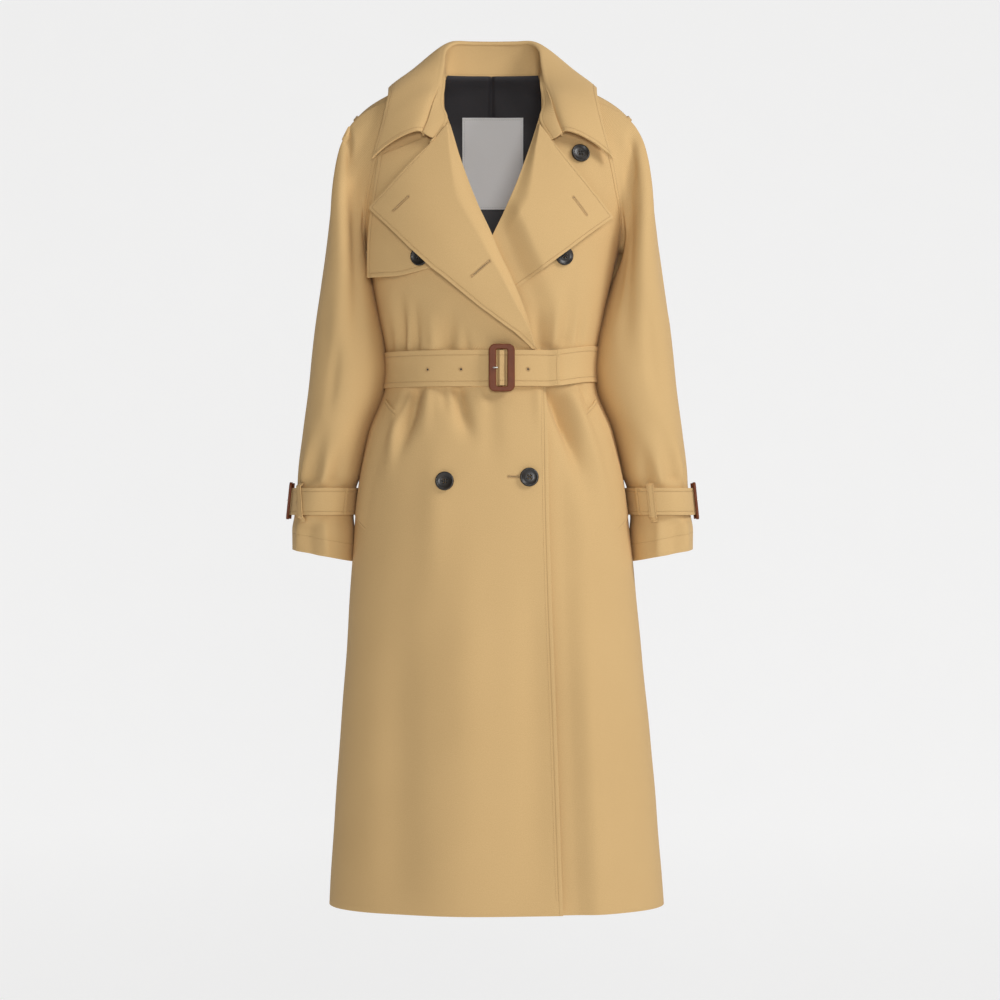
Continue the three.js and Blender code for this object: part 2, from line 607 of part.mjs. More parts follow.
function addCollar() {
  const stationSteps = steps(28);
  const standRows = [0.02, 0.5, 0.93].map((v) =>
    stationSteps.map((t) => {
      const foot = footCurve.getPoint(t);
      const roll = rollCurve.getPoint(t);
      const bulge = 3 * Math.sin(Math.PI * v);
      const point = foot.lerp(roll, v);
      const away = at(point.x - centreX, point.y + 10, 0).normalize();
      return point.addScaledVector(away, bulge).add(at(0, 0, 0.7));
    }),
  );
  addMesh("collar_stand", wallGeometry(standRows, offsetGrid(standRows, shellWall), false), colours.twill);

  const fallRows = steps(4).map((v) =>
    stationSteps.map((t) => {
      const roll = rollCurve.getPoint(t);
      const away = at(roll.x - centreX, roll.y + 10, 0).normalize();
      roll.add(at(0, 0, 2.2)).addScaledVector(away, 1.6);
      const edge = edgeCurve.getPoint(t);
      const span = roll.distanceTo(edge);
      const first = roll.clone().addScaledVector(away, 0.16 * span).add(at(0, 0, 0.05 * span));
      const second = edge.clone().lerp(roll, 0.3).addScaledVector(away, 0.05 * span);
      second.add(at(0, 0, 0.12 * span));
      return new THREE.CubicBezierCurve3(roll, first, second, edge).getPoint(v);
    }),
  );
  addMesh("collar_fall", wallGeometry(fallRows, offsetGrid(fallRows, -firmWall), false), colours.twill);
}

// Lapels: turned out from the roll line, lying on the chest
function addLapel(name, side, outline) {
  const edgeColumn = side < 0 ? "right" : "left";
  const place = (u, v, lift) => {
    const row = v * (outline.length - 1);
    const i = Math.min(Math.floor(row), outline.length - 2);
    const read = (key) => mix(outline[i][key], outline[i + 1][key], row - i);
    const rollZ = read("roll");
    const rollX = readSmooth(frontEdges, edgeColumn, rollZ);
    const x = mix(rollX, read("x"), u);
    const z = mix(rollZ, read("z"), u);
    const rise = smooth(u / 0.18);
    const open = mix(layGap, 9.5, rise) + 2 * Math.sin(Math.PI * v) * rise;
    if (side < 0) return chestPoint(x, z, lift + mix(layGap, open, smooth(v / 0.12)));
    const hidden = underCover(x, z);
    const under = torsoPoint(turnAt(x, z, "front"), z, lift + tuckedLapelLift);
    return chestPoint(x, z, lift + open).lerp(under, hidden);
  };
  addSheet(name, place, [0, 0.08, 0.2, 0.34, 0.48, 0.62, 0.8, 1], steps(13), 0, side < 0 ? firmWall : shellWall);
}

// Storm flap over the wearer's right chest, from under the collar down to a free lower edge
function addStormFlap() {
  const bottomZ = (x) => -265 + 11 * smooth((x + 140) / 65);
  const place = (u, v, lift) => {
    const topZ = mix(-96, -70, u);
    const lowX = mix(-176, -78, u);
    const highX = mix(-160.5, -92, u);
    const x = mix(lowX, highX, smooth(v * 0.9 + 0.05) * v);
    const z = mix(bottomZ(lowX), topZ, v);
    return chestPoint(x, z, lift);
  };
  addSheet("storm_flap", place, steps(6), steps(7), layGap, shellWall);
}

// Shoulder straps lie on the sleeve cap along its top column
const capTop = { column: 10.9, halfColumns: 1.15, neck: 0.88, tip: 0.53 };
function shoulderPoint(name, u, v, lift) {
  const { capPoint } = sleeves[name];
  const column = capTop.column + u * capTop.halfColumns;
  const step = 0.02;
  const here = capPoint(column, v);
  const across = capPoint(column + step, v).sub(capPoint(column - step, v));
  const along = capPoint(column, v + step).sub(capPoint(column, v - step));
  const normal = across.cross(along).normalize();
  return here.addScaledVector(normal, normal.z < 0 ? -lift : lift);
}

function addEpaulette(name) {
  const rows = [0, 0.14, 0.28, 0.42, 0.56, 0.7, 0.8, 0.88, 0.94, 0.98, 1];
  const place = (u, v, lift) => {
    const taper = mix(0.55, 1, Math.sqrt(clamp01((1 - v) / 0.12)));
    return shoulderPoint(name, u * taper, mix(capTop.neck, capTop.tip, v), lift);
  };
  addSheet("epaulette_" + name, place, [-1, -0.5, 0, 0.5, 1], rows, 1.5 * layGap, firmWall);

  const loopAt = 0.585;
  const loopHalf = 0.016;
  const loopPlace = (u, v, lift) => {
    const over = smooth((1.2 - Math.abs(u)) / 0.16);
    return shoulderPoint(name, u, loopAt + v * loopHalf, lift + over * (firmWall + layGap + 0.3));
  };
  const across = [-1.3, -1.2, -1.1, -1.02, -0.5, 0, 0.5, 1.02, 1.1, 1.2, 1.3];
  addSheet("epaulette_loop_" + name, loopPlace, across, [-1, 1], layGap, 1.6);
}

// A strap that starts at its buckle, runs once round, passes over the centre bar and lies on its own start
function strapLift(offset, late, lift, reach) {
  const over = late * smooth((offset + reach) / (0.6 * reach)) * (beltWall + 0.5);
  const bump = late * strapBump * (1 - smooth((Math.abs(offset) - 2.2) / 4.2));
  return lift + over + bump;
}

function beltPoint(turn, v, lift) {
  const x = torsoPoint(turn, beltTopZ, 0, { folded: false }).x;
  const behind = Math.cos(turn) < 0;
  const raise = beltRaise * (behind ? smooth((x - 20) / 130) : smooth((x - 70) / 75));
  return torsoPoint(turn, mix(beltBottomZ, beltTopZ, v) + raise, lift, { folded: false });
}

function addBelt() {
  const turnOf = (x) => turnAt(x, beltTopZ, "front");
  const whole = 2 * Math.PI;
  const bendsAt = [-34, -26, -18, -12, -6.4, -4.4, -2.2, 0, 2.2, 4.4, 6.4, 12, 18];
  const bends = bendsAt.map((x) => turnOf(buckleX + x) + whole);
  const tail = [34, 50, 64].map((x) => turnOf(buckleX + x) + whole);
  const start = turnOf(buckleX + 1);
  const round = steps(46).map((t) => mix(start, bends[0] - 0.05, t));
  const turns = [...round, ...bends, ...tail, turnOf(beltEndX) + whole];
  const place = (turn, v, lift) => {
    const offset = beltPoint(turn, v, 0).x - buckleX;
    return beltPoint(turn, v, strapLift(offset, turn > 5 ? 1 : 0, lift, 34));
  };
  addSheet("belt", place, turns, [0, 1], layGap, beltWall);
}

function addCuffStrap(name) {
  const { ringPoint } = sleeves[name];
  const buckleTurn = cuffBuckleTurn[name] * degrees;
  const tailTurn = -310 * degrees;
  const bends = [26, 20, 14, 10, 6.4, 4.4, 2.2, 0, -2.2, -4.4, -6.4, -10, -14, -20].map(
    (mm) => (mm / mmPerDegree) * degrees - 2 * Math.PI + buckleTurn,
  );
  const round = steps(30).map((t) => mix(buckleTurn - 1.5 * degrees, bends[0] + 6 * degrees, t));
  const lastTurn = buckleTurn + tailTurn - 2 * Math.PI + Math.PI;
  const tail = steps(8).slice(1).map((t) => mix(bends.at(-1), lastTurn, t));
  const place = (turn, v, lift) => {
    const passed = buckleTurn - 2 * Math.PI - turn;
    const late = turn < buckleTurn - Math.PI ? 1 : 0;
    const offset = (passed / degrees) * mmPerDegree;
    return ringPoint(turn, mix(cuffStrapBottomZ, cuffStrapTopZ, v), strapLift(offset, late, lift, 26));
  };
  addSheet("cuff_strap_" + name, place, [...round, ...bends, ...tail], [0, 1], layGap, beltWall);

  const keeperTurn = cuffKeeper[name].turn * degrees;
  const slant = cuffKeeper[name].slant * degrees;
  const middleZ = (cuffStrapTopZ + cuffStrapBottomZ) / 2;
  const half = (cuffStrapTopZ - cuffStrapBottomZ) / 2;
  const keeperPlace = (u, v, lift) => {
    const over = smooth((half + 7 - Math.abs(v)) / 5) * (2 * beltWall + 0.4);
    const turn = keeperTurn + u * 5.5 * degrees + (v / half) * slant;
    return ringPoint(turn, middleZ + v, lift + over);
  };
  const rows = [-29, -26, -24, -21.5, -10, 0, 10, 21.5, 24, 26];
  addSheet("cuff_keeper_" + name, keeperPlace, [-1, 1], rows, 2 * layGap, 1.4);
}

// Buckles: a rounded frame with a centre bar behind it and a prong across it
const wasm = await Module();
wasm.setup();

function solidOf(geometry) {
  const bare = geometry.clone();
  bare.deleteAttribute("normal");
  bare.deleteAttribute("uv");
  const merged = mergeVertices(bare, 1e-4);
  const vertProperties = Float32Array.from(merged.attributes.position.array);
  const triVerts = Uint32Array.from(merged.index.array);
  return new wasm.Manifold(new wasm.Mesh({ numProp: 3, vertProperties, triVerts }));
}

function geometryOf(solid) {
  const mesh = solid.getMesh();
  const geometry = new THREE.BufferGeometry();
  geometry.setAttribute("position", new THREE.Float32BufferAttribute(mesh.vertProperties, 3));
  geometry.setIndex([...mesh.triVerts]);
  geometry.computeVertexNormals();
  return geometry;
}

function roundedRectangle(path, width, height, radius) {
  const w = width / 2;
  const h = height / 2;
  path.moveTo(-w + radius, -h);
  path.lineTo(w - radius, -h);
  path.absarc(w - radius, -h + radius, radius, -Math.PI / 2, 0, false);
  path.lineTo(w, h - radius);
  path.absarc(w - radius, h - radius, radius, 0, Math.PI / 2, false);
  path.lineTo(-w + radius, h);
  path.absarc(-w + radius, h - radius, radius, Math.PI / 2, Math.PI, false);
  path.lineTo(-w, -h + radius);
  path.absarc(-w + radius, -h + radius, radius, Math.PI, 1.5 * Math.PI, false);
  return path;
}

const frameBack = 7.2;
const barBack = 4;
const barFront = 7.1;
function buckleGeometry({ width, height, sideBar, rail, thickness }) {
  const outline = roundedRectangle(new THREE.Shape(), width, height, 6);
  outline.holes.push(roundedRectangle(new THREE.Path(), width - 2 * sideBar, height - 2 * rail, 2));
  const frame = new THREE.ExtrudeGeometry(outline, { depth: thickness, bevelEnabled: false, curveSegments: 3 });
  frame.translate(0, 0, frameBack);
  const bar = new THREE.BoxGeometry(3.2, height - 1, barFront - barBack);
  bar.translate(0, 0, (barBack + barFront) / 2);
  let solid = solidOf(frame).add(solidOf(bar));
  for (const end of [-1, 1]) {
    const post = new THREE.BoxGeometry(3.2, rail - 1.4, frameBack + 1 - barBack);
    post.translate(0, end * (height / 2 - rail / 2), (barBack + frameBack + 1) / 2);
    solid = solid.add(solidOf(post));
  }
  return geometryOf(solid);
}

function placeOn(mesh, low, high, ahead, behind) {
  const up = high.clone().sub(low).normalize();
  const across = ahead.clone().sub(behind).normalize();
  const normal = across.clone().cross(up).normalize();
  mesh.matrix.makeBasis(across, normal.clone().cross(across), normal);
  mesh.quaternion.setFromRotationMatrix(mesh.matrix);
  mesh.position.copy(low.clone().add(high).multiplyScalar(0.5));
}

function addBuckle(name, prongName, size, pointAt, prongSide) {
  const low = pointAt(0, 0);
  const high = pointAt(0, 1);
  const buckle = addMesh(name, buckleGeometry(size), colours.leather, 0.45);
  placeOn(buckle, low, high, pointAt(6, 0.5), pointAt(-6, 0.5));
  const reach = size.width / 2 - 3;
  const prong = new THREE.CylinderGeometry(1.1, 1.2, reach + 2, 8);
  prong.rotateZ(Math.PI / 2 + 0.06);
  prong.translate(prongSide * (reach / 2 - 1), 0, 0);
  prong.translate(0, 0, frameBack + size.thickness + 1.5);
  const prongMesh = addMesh(prongName, prong, colours.steel, 0.35, 0.9);
  placeOn(prongMesh, low, high, pointAt(6, 0.5), pointAt(-6, 0.5));
}

function addButton(name, centre, normal) {
  const r = buttonRadius;
  const h = buttonHeight;
  const profile = [
    [0, 0],
    [r - 1, 0],
    [r, 1.4],
    [r, h - 1.2],
    [r - 1, h],
    [r - 3.8, h - 1.2],
    [0, h - 1.4],
  ].map(([x, y]) => new THREE.Vector2(x, y));
  const button = addMesh(name, new THREE.LatheGeometry(profile, 12), colours.horn, 0.35);
  button.quaternion.setFromUnitVectors(at(0, 1, 0), normal);
  button.position.copy(centre);
}

function addPocketWelt(name, side) {
  const { topOuter, topInner, bottomOuter, bottomInner } = weltCorners;
  const place = (u, v, lift) => {
    const outer = (key) => mix(bottomOuter[key], topOuter[key], v);
    const inner = (key) => mix(bottomInner[key], topInner[key], v);
    const read = (key) => mix(outer(key), inner(key), u);
    return torsoPoint(side * read("turn") * degrees, read("z"), lift);
  };
  addSheet(name, place, steps(5), steps(10), layGap, shellWall);
}

function addLining() {
  const rows = [-232, -200, -160, -120, -80, -45, -15, 10, 31];
  const liningWall = 1;
  const top = -shellWall - layGap - liningWall;
  const place = (u, z, lift) => {
    const reach = Math.min(112, readLine(raglanBack, "z", "reach", z) - 8);
    return torsoPoint(turnAt(centreX + u * reach, z, "back"), z, lift, { folded: false });
  };
  const turns = [-1, -0.75, -0.5, -0.25, 0.0001, 0.25, 0.5, 0.75, 1];
  addSheet("lining", place, turns, rows, top, liningWall, colours.lining);
  const labelPlace = (u, v, lift) => {
    const z = mix(labelTopZ - labelHeight, labelTopZ, v);
    return torsoPoint(turnAt(centreX + (u - 0.5) * labelWidth, z, "back"), z, lift, { folded: false });
  };
  const us = [0, 0.26, 0.501, 0.74, 1];
  addSheet("neck_label", labelPlace, us, steps(4), top - layGap - labelWall, labelWall, colours.label);
}

addFront("front_right", -1, 15);
addFront("front_left", 1, 13);
addBack("back_right", -1, 10);
addBack("back_left", 1, 10);
for (const name of ["right", "left"]) {
  addSleeve(name);
  addEpaulette(name);
  addCuffStrap(name);
  const { ringPoint } = sleeves[name];
  const side = sideOf[name];
  const onCuff = (mm, v) => {
    const turn = cuffBuckleTurn[name] * degrees + (side * mm * degrees) / mmPerDegree;
    return ringPoint(turn, mix(cuffStrapBottomZ, cuffStrapTopZ, v), 0);
  };
  addBuckle("cuff_buckle_" + name, "cuff_prong_" + name, cuffBuckle, onCuff, side);
}
addCollar();
addLapel("lapel_right", -1, lapelRightOutline);
addLapel("lapel_left", 1, lapelLeftOutline);
addStormFlap();
addPocketWelt("pocket_welt_right", -1);
addPocketWelt("pocket_welt_left", 1);
addBelt();
const onBelt = (mm, v) => beltPoint(turnAt(buckleX + mm, beltTopZ, "front"), v, 0);
addBuckle("belt_buckle", "belt_prong", beltBuckle, onBelt, -1);
for (const [name, x, z, lift, onChest] of buttonPlaces) {
  const turn = turnAt(x, z, "front");
  const centre = onChest ? chestPoint(x, z, lift) : torsoPoint(turn, z, lift);
  addButton(name, centre, torsoNormal(turn, z, { folded: false }));
}
addLining();

export default coat;
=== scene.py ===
import math

import bmesh
import bpy
import numpy as np
from mathutils import Matrix, Vector


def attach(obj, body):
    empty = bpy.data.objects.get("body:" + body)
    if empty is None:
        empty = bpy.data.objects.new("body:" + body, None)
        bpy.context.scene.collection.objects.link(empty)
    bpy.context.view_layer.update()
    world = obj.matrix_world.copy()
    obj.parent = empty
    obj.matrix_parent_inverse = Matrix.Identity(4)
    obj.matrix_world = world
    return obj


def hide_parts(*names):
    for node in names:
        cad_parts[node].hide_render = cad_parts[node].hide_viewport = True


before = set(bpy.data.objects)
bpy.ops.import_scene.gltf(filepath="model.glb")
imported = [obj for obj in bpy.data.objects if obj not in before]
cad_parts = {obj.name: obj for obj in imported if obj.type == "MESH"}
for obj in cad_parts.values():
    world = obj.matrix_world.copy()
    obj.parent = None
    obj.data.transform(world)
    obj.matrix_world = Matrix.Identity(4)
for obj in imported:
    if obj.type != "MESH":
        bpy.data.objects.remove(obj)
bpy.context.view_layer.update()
print("coat frame loaded")

# All tables are in millimetres in the coat's own frame: +Z up, front towards -Y, wearer's right at -X
mm = 0.001
centreX = -2.0
seamGap = 0.5
underarm = -225
neckFront = 3
neckBack = 34
shellWall = 1.9
firmWall = 2.5


# small helpers
def blend(a, b, t):
    return a + (b - a) * t


def softStep(t):
    t = np.clip(t, 0, 1)
    return t * t * (3 - 2 * t)


def unit(v):
    return v / np.maximum(np.linalg.norm(v, axis=-1, keepdims=True), 1e-9)


def vec(x, y, z):
    return np.stack(np.broadcast_arrays(*(np.asarray(a, float) for a in (x, y, z))), -1)


def spread(knots, count):
    # evenly from 0 to 1, or evenly along the given knots
    even = np.linspace(0, 1, count + 1)
    return even if knots is None else np.interp(even, np.linspace(0, 1, len(knots)), knots)


def runningLength(points, axis):
    steps = np.linalg.norm(np.diff(points, axis=axis), axis=-1)
    return np.insert(np.cumsum(steps, axis=axis), 0, 0, axis=axis)


def readLine(at, knots, line):
    return np.array([np.interp(at, knots, line[:, axis]) for axis in range(3)])


def foldShape(off, along, rise, fade):
    # a fold's section across, and how it grows and dies away along its length
    shape = np.exp(-off * off) * softStep(along / rise) * softStep((1 - along) / fade)
    return np.where((along > 0) & (along < 1), shape, 0)


def smoothCurve(knots, values):
    # reads a column smoothly by height, without overshoot
    k, v = np.array(knots, float), np.array(values, float)
    if k[0] > k[-1]:
        k, v = k[::-1], v[::-1]
    slope = np.diff(v) / np.diff(k)
    product = slope[:-1] * slope[1:]
    total = slope[:-1] + slope[1:]
    total[product <= 0] = 1
    bend = np.concatenate([slope[:1], np.where(product <= 0, 0, 2 * product / total), slope[-1:]])

    def read(x):
        x = np.clip(x, k[0], k[-1])
        i = np.clip(np.searchsorted(k, x, side="right") - 1, 0, len(k) - 2)
        step = k[i + 1] - k[i]
        t = (x - k[i]) / step
        ends = v[i] * (1 + 2 * t) * (1 - t) ** 2 + v[i + 1] * t * t * (3 - 2 * t)
        return ends + bend[i] * step * t * (1 - t) ** 2 + bend[i + 1] * step * t * t * (t - 1)

    return read


def throughPoints(points):
    # a curve through points, like a bent spline lath, read from 0 to 1
    p = np.array(points, float)
    ends = [2 * p[0] - p[1]], p, [2 * p[-1] - p[-2]]
    q = np.concatenate(ends)

    def read(t):
        t = np.asarray(t, float) * (len(p) - 1)
        i = np.clip(np.floor(t).astype(int), 0, len(p) - 2)
        w = (t - i)[..., None]
        x0, x1, x2, x3 = q[i], q[i + 1], q[i + 2], q[i + 3]
        d0, d1, d2 = (
            np.sqrt(np.linalg.norm(b - a, axis=-1, keepdims=True))
            for a, b in ((x0, x1), (x1, x2), (x2, x3))
        )
        t1 = ((x1 - x0) / d0 - (x2 - x0) / (d0 + d1) + (x2 - x1) / d1) * d1
        t2 = ((x2 - x1) / d1 - (x3 - x1) / (d1 + d2) + (x3 - x2) / d2) * d1
        return x1 + t1 * w + (-3 * x1 + 3 * x2 - 2 * t1 - t2) * w**2 + (2 * x1 - 2 * x2 + t1 + t2) * w**3

    return read


def bezier(a, b, c, d, t):
    t = np.asarray(t, float)[..., None]
    return a * (1 - t) ** 3 + 3 * b * t * (1 - t) ** 2 + 3 * c * t * t * (1 - t) + d * t**3


# the body of the coat: one ring at each height
torso = {
    "z": [
        -1146, -1000, -830, -656, -560, -480, -418, -392, -367, -315, -265, -225, -185, -140, -98, -57, -35,
        -18, 6, 20, 34
    ],
    "shift": [4, 2.5, 0.5, -2, -3.5, -4, -4.5, -4.5, -4.5, -4, -3, -2, -2, -2, -2, -2, -2, -2, -2, -2, -2],
    "half": [
        237, 227, 212.5, 198, 189.5, 173.5, 150, 147, 149, 159, 170, 178, 189, 201, 209, 210, 205, 190, 150,
        112, 77
    ],
    "front": [
        -142, -138, -134, -131, -128, -120, -103, -101, -102, -112, -118, -118, -114, -107, -95, -76, -61,
        -47, -22, -4, 20
    ],
    "back": [142, 136, 130, 126, 121, 110, 92, 88, 89, 96, 103, 107, 108, 107, 105, 99, 94, 88, 78, 71, 61],
    "mid": [0, 0, 0, 0, 0, 0, 0, 0, 0, 0, 1, 2, 3, 4, 5, 6, 7, 9, 13, 21, 41],
}
torsoColumn = {key: smoothCurve(torso["z"], torso[key]) for key in torso if key != "z"}
boxiness = 2.3

frontEdge = {
    "z": [
        -1146, -1014, -850, -712, -575, -418, -392, -367, -335, -305, -264, -235, -201, -170, -135, -96,
        -72, -48, -20, 3
    ],
    "right": [
        95.5, 91, 85.5, 80, 76, 73.5, 69, 59, 50, 40, 22.5, 8.5, -6, -20.5, -34.5, -48, -55, -62, -70, -70.5
    ],
    "left": [-84, -82, -80, -80, -80, -80, -79, -75, -60, -46, -28, -14, 2, 17, 32, 46, 54, 61, 67, 66.5],
}
edgeAt = {side: smoothCurve(frontEdge["z"], frontEdge[side]) for side in ("right", "left")}
raglanFront = {
    "z": [-225, -203, -175, -140, -105, -72, -44, -20, -6, 3],
    "reach": [178, 180, 177.5, 171, 164, 156, 150, 144, 128, 90],
}
raglanBack = {
    "z": [-225, -203, -175, -140, -105, -72, -44, -20, 3, 20, 34],
    "reach": [178, 179, 175, 166, 155, 142, 128, 113, 96, 82, 71],
}
reachFront = smoothCurve(raglanFront["z"], raglanFront["reach"])
reachBack = smoothCurve(raglanBack["z"], raglanBack["reach"])

# folds of the body: face, x and z where each starts and ends, half width, depth (ridges positive),
# shares of its length over which it grows and dies away, and how far it bows sideways
folds = [
    ("front", (-130, -133), (-372, -262), 9, -8, 0.1, 0.8, 2),
    ("front", (-108, -110), (-372, -275), 7, -6, 0.1, 0.8, -1),
    ("front", (-64, -62), (-372, -290), 10, -7, 0.1, 0.7, 2),
    ("front", (70, 60), (-372, -300), 8, -6, 0.1, 0.6, 0),
    ("front", (100, 108), (-366, -250), 9, -6, 0.1, 0.8, 2),
    ("front", (-106, -132), (-414, -520), 9, -9, 0.08, 0.7, 2),
    ("front", (-50, -29), (-414, -510), 13, -7, 0.08, 0.6, -2),
    ("front", (82, 148), (-414, -640), 13, -14, 0.06, 0.85, 6),
    ("front", (-132, -145), (-424, -560), 9, 4, 0.3, 0.7, 0),
    ("front", (-125, -140), (-600, -1260), 30, -7, 0.5, 0.3, 0),
    ("front", (-30, -48), (-540, -1300), 38, 6, 0.4, 0.3, 0),
    ("front", (52, 62), (-600, -1200), 26, -7, 0.4, 0.3, 0),
    ("front", (118, 150), (-640, -1260), 26, 6, 0.4, 0.3, 0),
    ("back", (-96, -120), (-414, -590), 12, -10, 0.08, 0.8, 3),
    ("back", (-38, -46), (-414, -540), 11, -9, 0.08, 0.7, 0),
    ("back", (24, 20), (-414, -620), 13, -11, 0.08, 0.8, 2),
    ("back", (88, 112), (-414, -560), 11, -9, 0.08, 0.7, -3),
    ("back", (-78, -84), (-371, -250), 11, -8, 0.1, 0.8, 0),
    ("back", (-12, -16), (-371, -285), 9, -7, 0.1, 0.7, 0),
    ("back", (62, 72), (-371, -240), 12, -8, 0.1, 0.8, 0),
    ("back", (-110, -140), (-640, -1260), 32, 8, 0.5, 0.3, 0),
    ("back", (-30, -36), (-600, -1260), 28, -8, 0.5, 0.3, 0),
    ("back", (56, 72), (-620, -1260), 30, 8, 0.5, 0.3, 0),
    # smaller gathers beside the belt, and creases that run on into the skirt
    ("front", (-112, -142), (-413, -545), 6, -5, 0.06, 0.8, 3),
    ("front", (-53, -26), (-413, -505), 8, -6, 0.06, 0.7, -3),
    ("front", (-8, 2), (-414, -560), 14, -3.5, 0.1, 0.6, 0),
    ("front", (76, 132), (-413, -560), 6, -5, 0.06, 0.8, 4),
    ("front", (-80, -86), (-470, -760), 20, 4, 0.4, 0.5, 0),
    ("front", (-136, -150), (-450, -560), 7, 3, 0.3, 0.6, 2),
    ("front", (-144, -150), (-372, -300), 5, -3, 0.15, 0.8, 0),
    ("front", (-120, -121), (-372, -285), 5, 3, 0.15, 0.8, 0),
    ("front", (-84, -88), (-372, -290), 8, 3.5, 0.15, 0.8, 0),
    ("front", (-36, -44), (-372, -310), 6, -3, 0.15, 0.8, 0),
    ("front", (84, 88), (-370, -280), 6, 3.5, 0.15, 0.8, 0),
    ("front", (118, 128), (-366, -285), 5, -3.5, 0.15, 0.8, 0),
    ("front", (-118, -150), (-412, -500), 5, -3, 0.1, 0.8, 0),
    ("front", (-90, -98), (-414, -500), 8, 4, 0.15, 0.8, 0),
    ("front", (-72, -62), (-414, -470), 6, -4, 0.1, 0.8, 0),
    ("front", (-22, -6), (-414, -470), 7, 3, 0.15, 0.8, 0),
    ("front", (104, 168), (-414, -610), 9, 5, 0.1, 0.8, 5),
    ("front", (60, 66), (-414, -500), 7, 3, 0.15, 0.8, 0),
    ("front", (122, 140), (-410, -470), 5, -4, 0.1, 0.8, 0),
    ("back", (-120, -134), (-414, -500), 6, 4, 0.15, 0.8, 0),
    ("back", (-66, -74), (-414, -500), 8, 4, 0.15, 0.8, 0),
    ("back", (-8, -10), (-414, -490), 7, 4, 0.15, 0.8, 0),
    ("back", (56, 62), (-414, -520), 8, 4, 0.15, 0.8, 0),
    ("back", (-44, -48), (-371, -300), 7, 3.5, 0.15, 0.8, 0),
    ("back", (28, 30), (-371, -290), 8, 3.5, 0.15, 0.8, 0),
    ("back", (104, 110), (-371, -290), 7, -4, 0.15, 0.8, 0),
    ("back", (-118, -124), (-371, -300), 6, -4, 0.15, 0.8, 0),
]


def foldDepth(x, z, inFront):
    depth = 0.55 * np.sin(x / 27 + z / 93 + 0.6) * np.sin(z / 61 - x / 149 + 1.9)
    depth = depth + 0.4 * np.sin(x / 14.5 - z / 47) * np.sin(z / 33 + x / 71 + 0.8)
    for face, (x0, x1), (z0, z1), width, deep, rise, fade, bow in folds:
        along = (z - z0) / (z1 - z0)
        middle = blend(x0, x1, along) + 4 * bow * along * (1 - along)
        off = (x - middle) / (width * (0.85 + 0.45 * np.clip(along, 0, 1)))
        depth = depth + np.where(inFront == (face == "front"), deep * foldShape(off, along, rise, fade), 0)
    return depth


def torsoPoint(turn, z, lift, leastHalf=0.0, folded=True):
    turn, z, lift = np.broadcast_arrays(*(np.asarray(a, float) for a in (turn, z, lift)))

    def ring(height):
        found = {key: torsoColumn[key](height) for key in torsoColumn}
        found["half"] = np.maximum(found["half"], leastHalf)
        return found

    def depthOf(found):
        return np.where(c > 0, found["mid"] - found["front"], found["back"] - found["mid"])

    s, c = np.sin(turn), np.cos(turn)
    here, above = ring(z), ring(z + 1)
    depth = depthOf(here)
    shareX = np.sign(s) * np.abs(s) ** (2 / boxiness)
    shareY = -np.sign(c) * np.abs(c) ** (2 / boxiness)
    gradX = np.sign(s) * np.abs(shareX) ** (boxiness - 1) / here["half"]
    gradY = np.sign(shareY) * np.abs(shareY) ** (boxiness - 1) / depth
    gradZ = -gradX * (above["shift"] - here["shift"]) - gradY * (above["mid"] - here["mid"])
    gradZ = gradZ - np.abs(shareX) ** boxiness * (above["half"] - here["half"]) / here["half"]
    gradZ = gradZ - np.abs(shareY) ** boxiness * (depthOf(above) - depth) / depth
    normal = unit(vec(gradX, gradY, gradZ))
    x = here["shift"] + here["half"] * shareX
    out = lift + (foldDepth(x, z, c > 0) if folded else 0)
    return vec(x, here["mid"] + depth * shareY, z) + normal * out[..., None]


def torsoNormal(turn, z):
    return unit(torsoPoint(turn, z, 1, folded=False) - torsoPoint(turn, z, 0, folded=False))


def turnAt(x, z, inFront=True, leastHalf=0.0):
    shift = torsoColumn["shift"](z)
    half = np.maximum(torsoColumn["half"](z), leastHalf)
    turn = np.arcsin(np.minimum(1, np.abs(x - shift) / half) ** (boxiness / 2))
    return np.where(x < shift, -1, 1) * (turn if inFront else math.pi - turn)


def chestPoint(x, z, lift):
    # the hanging cloth of the chest, which doesn't follow the waist or the folds
    hang = blend(0, 198, softStep((z + 372) / 70))
    return torsoPoint(turnAt(x, z, True, hang), z, lift, hang, False)


# cloth: a grid laid by a place function, with its wall, its weave map and the distance to its stitched edges
pieces = {}
farFromSeams = 90.0


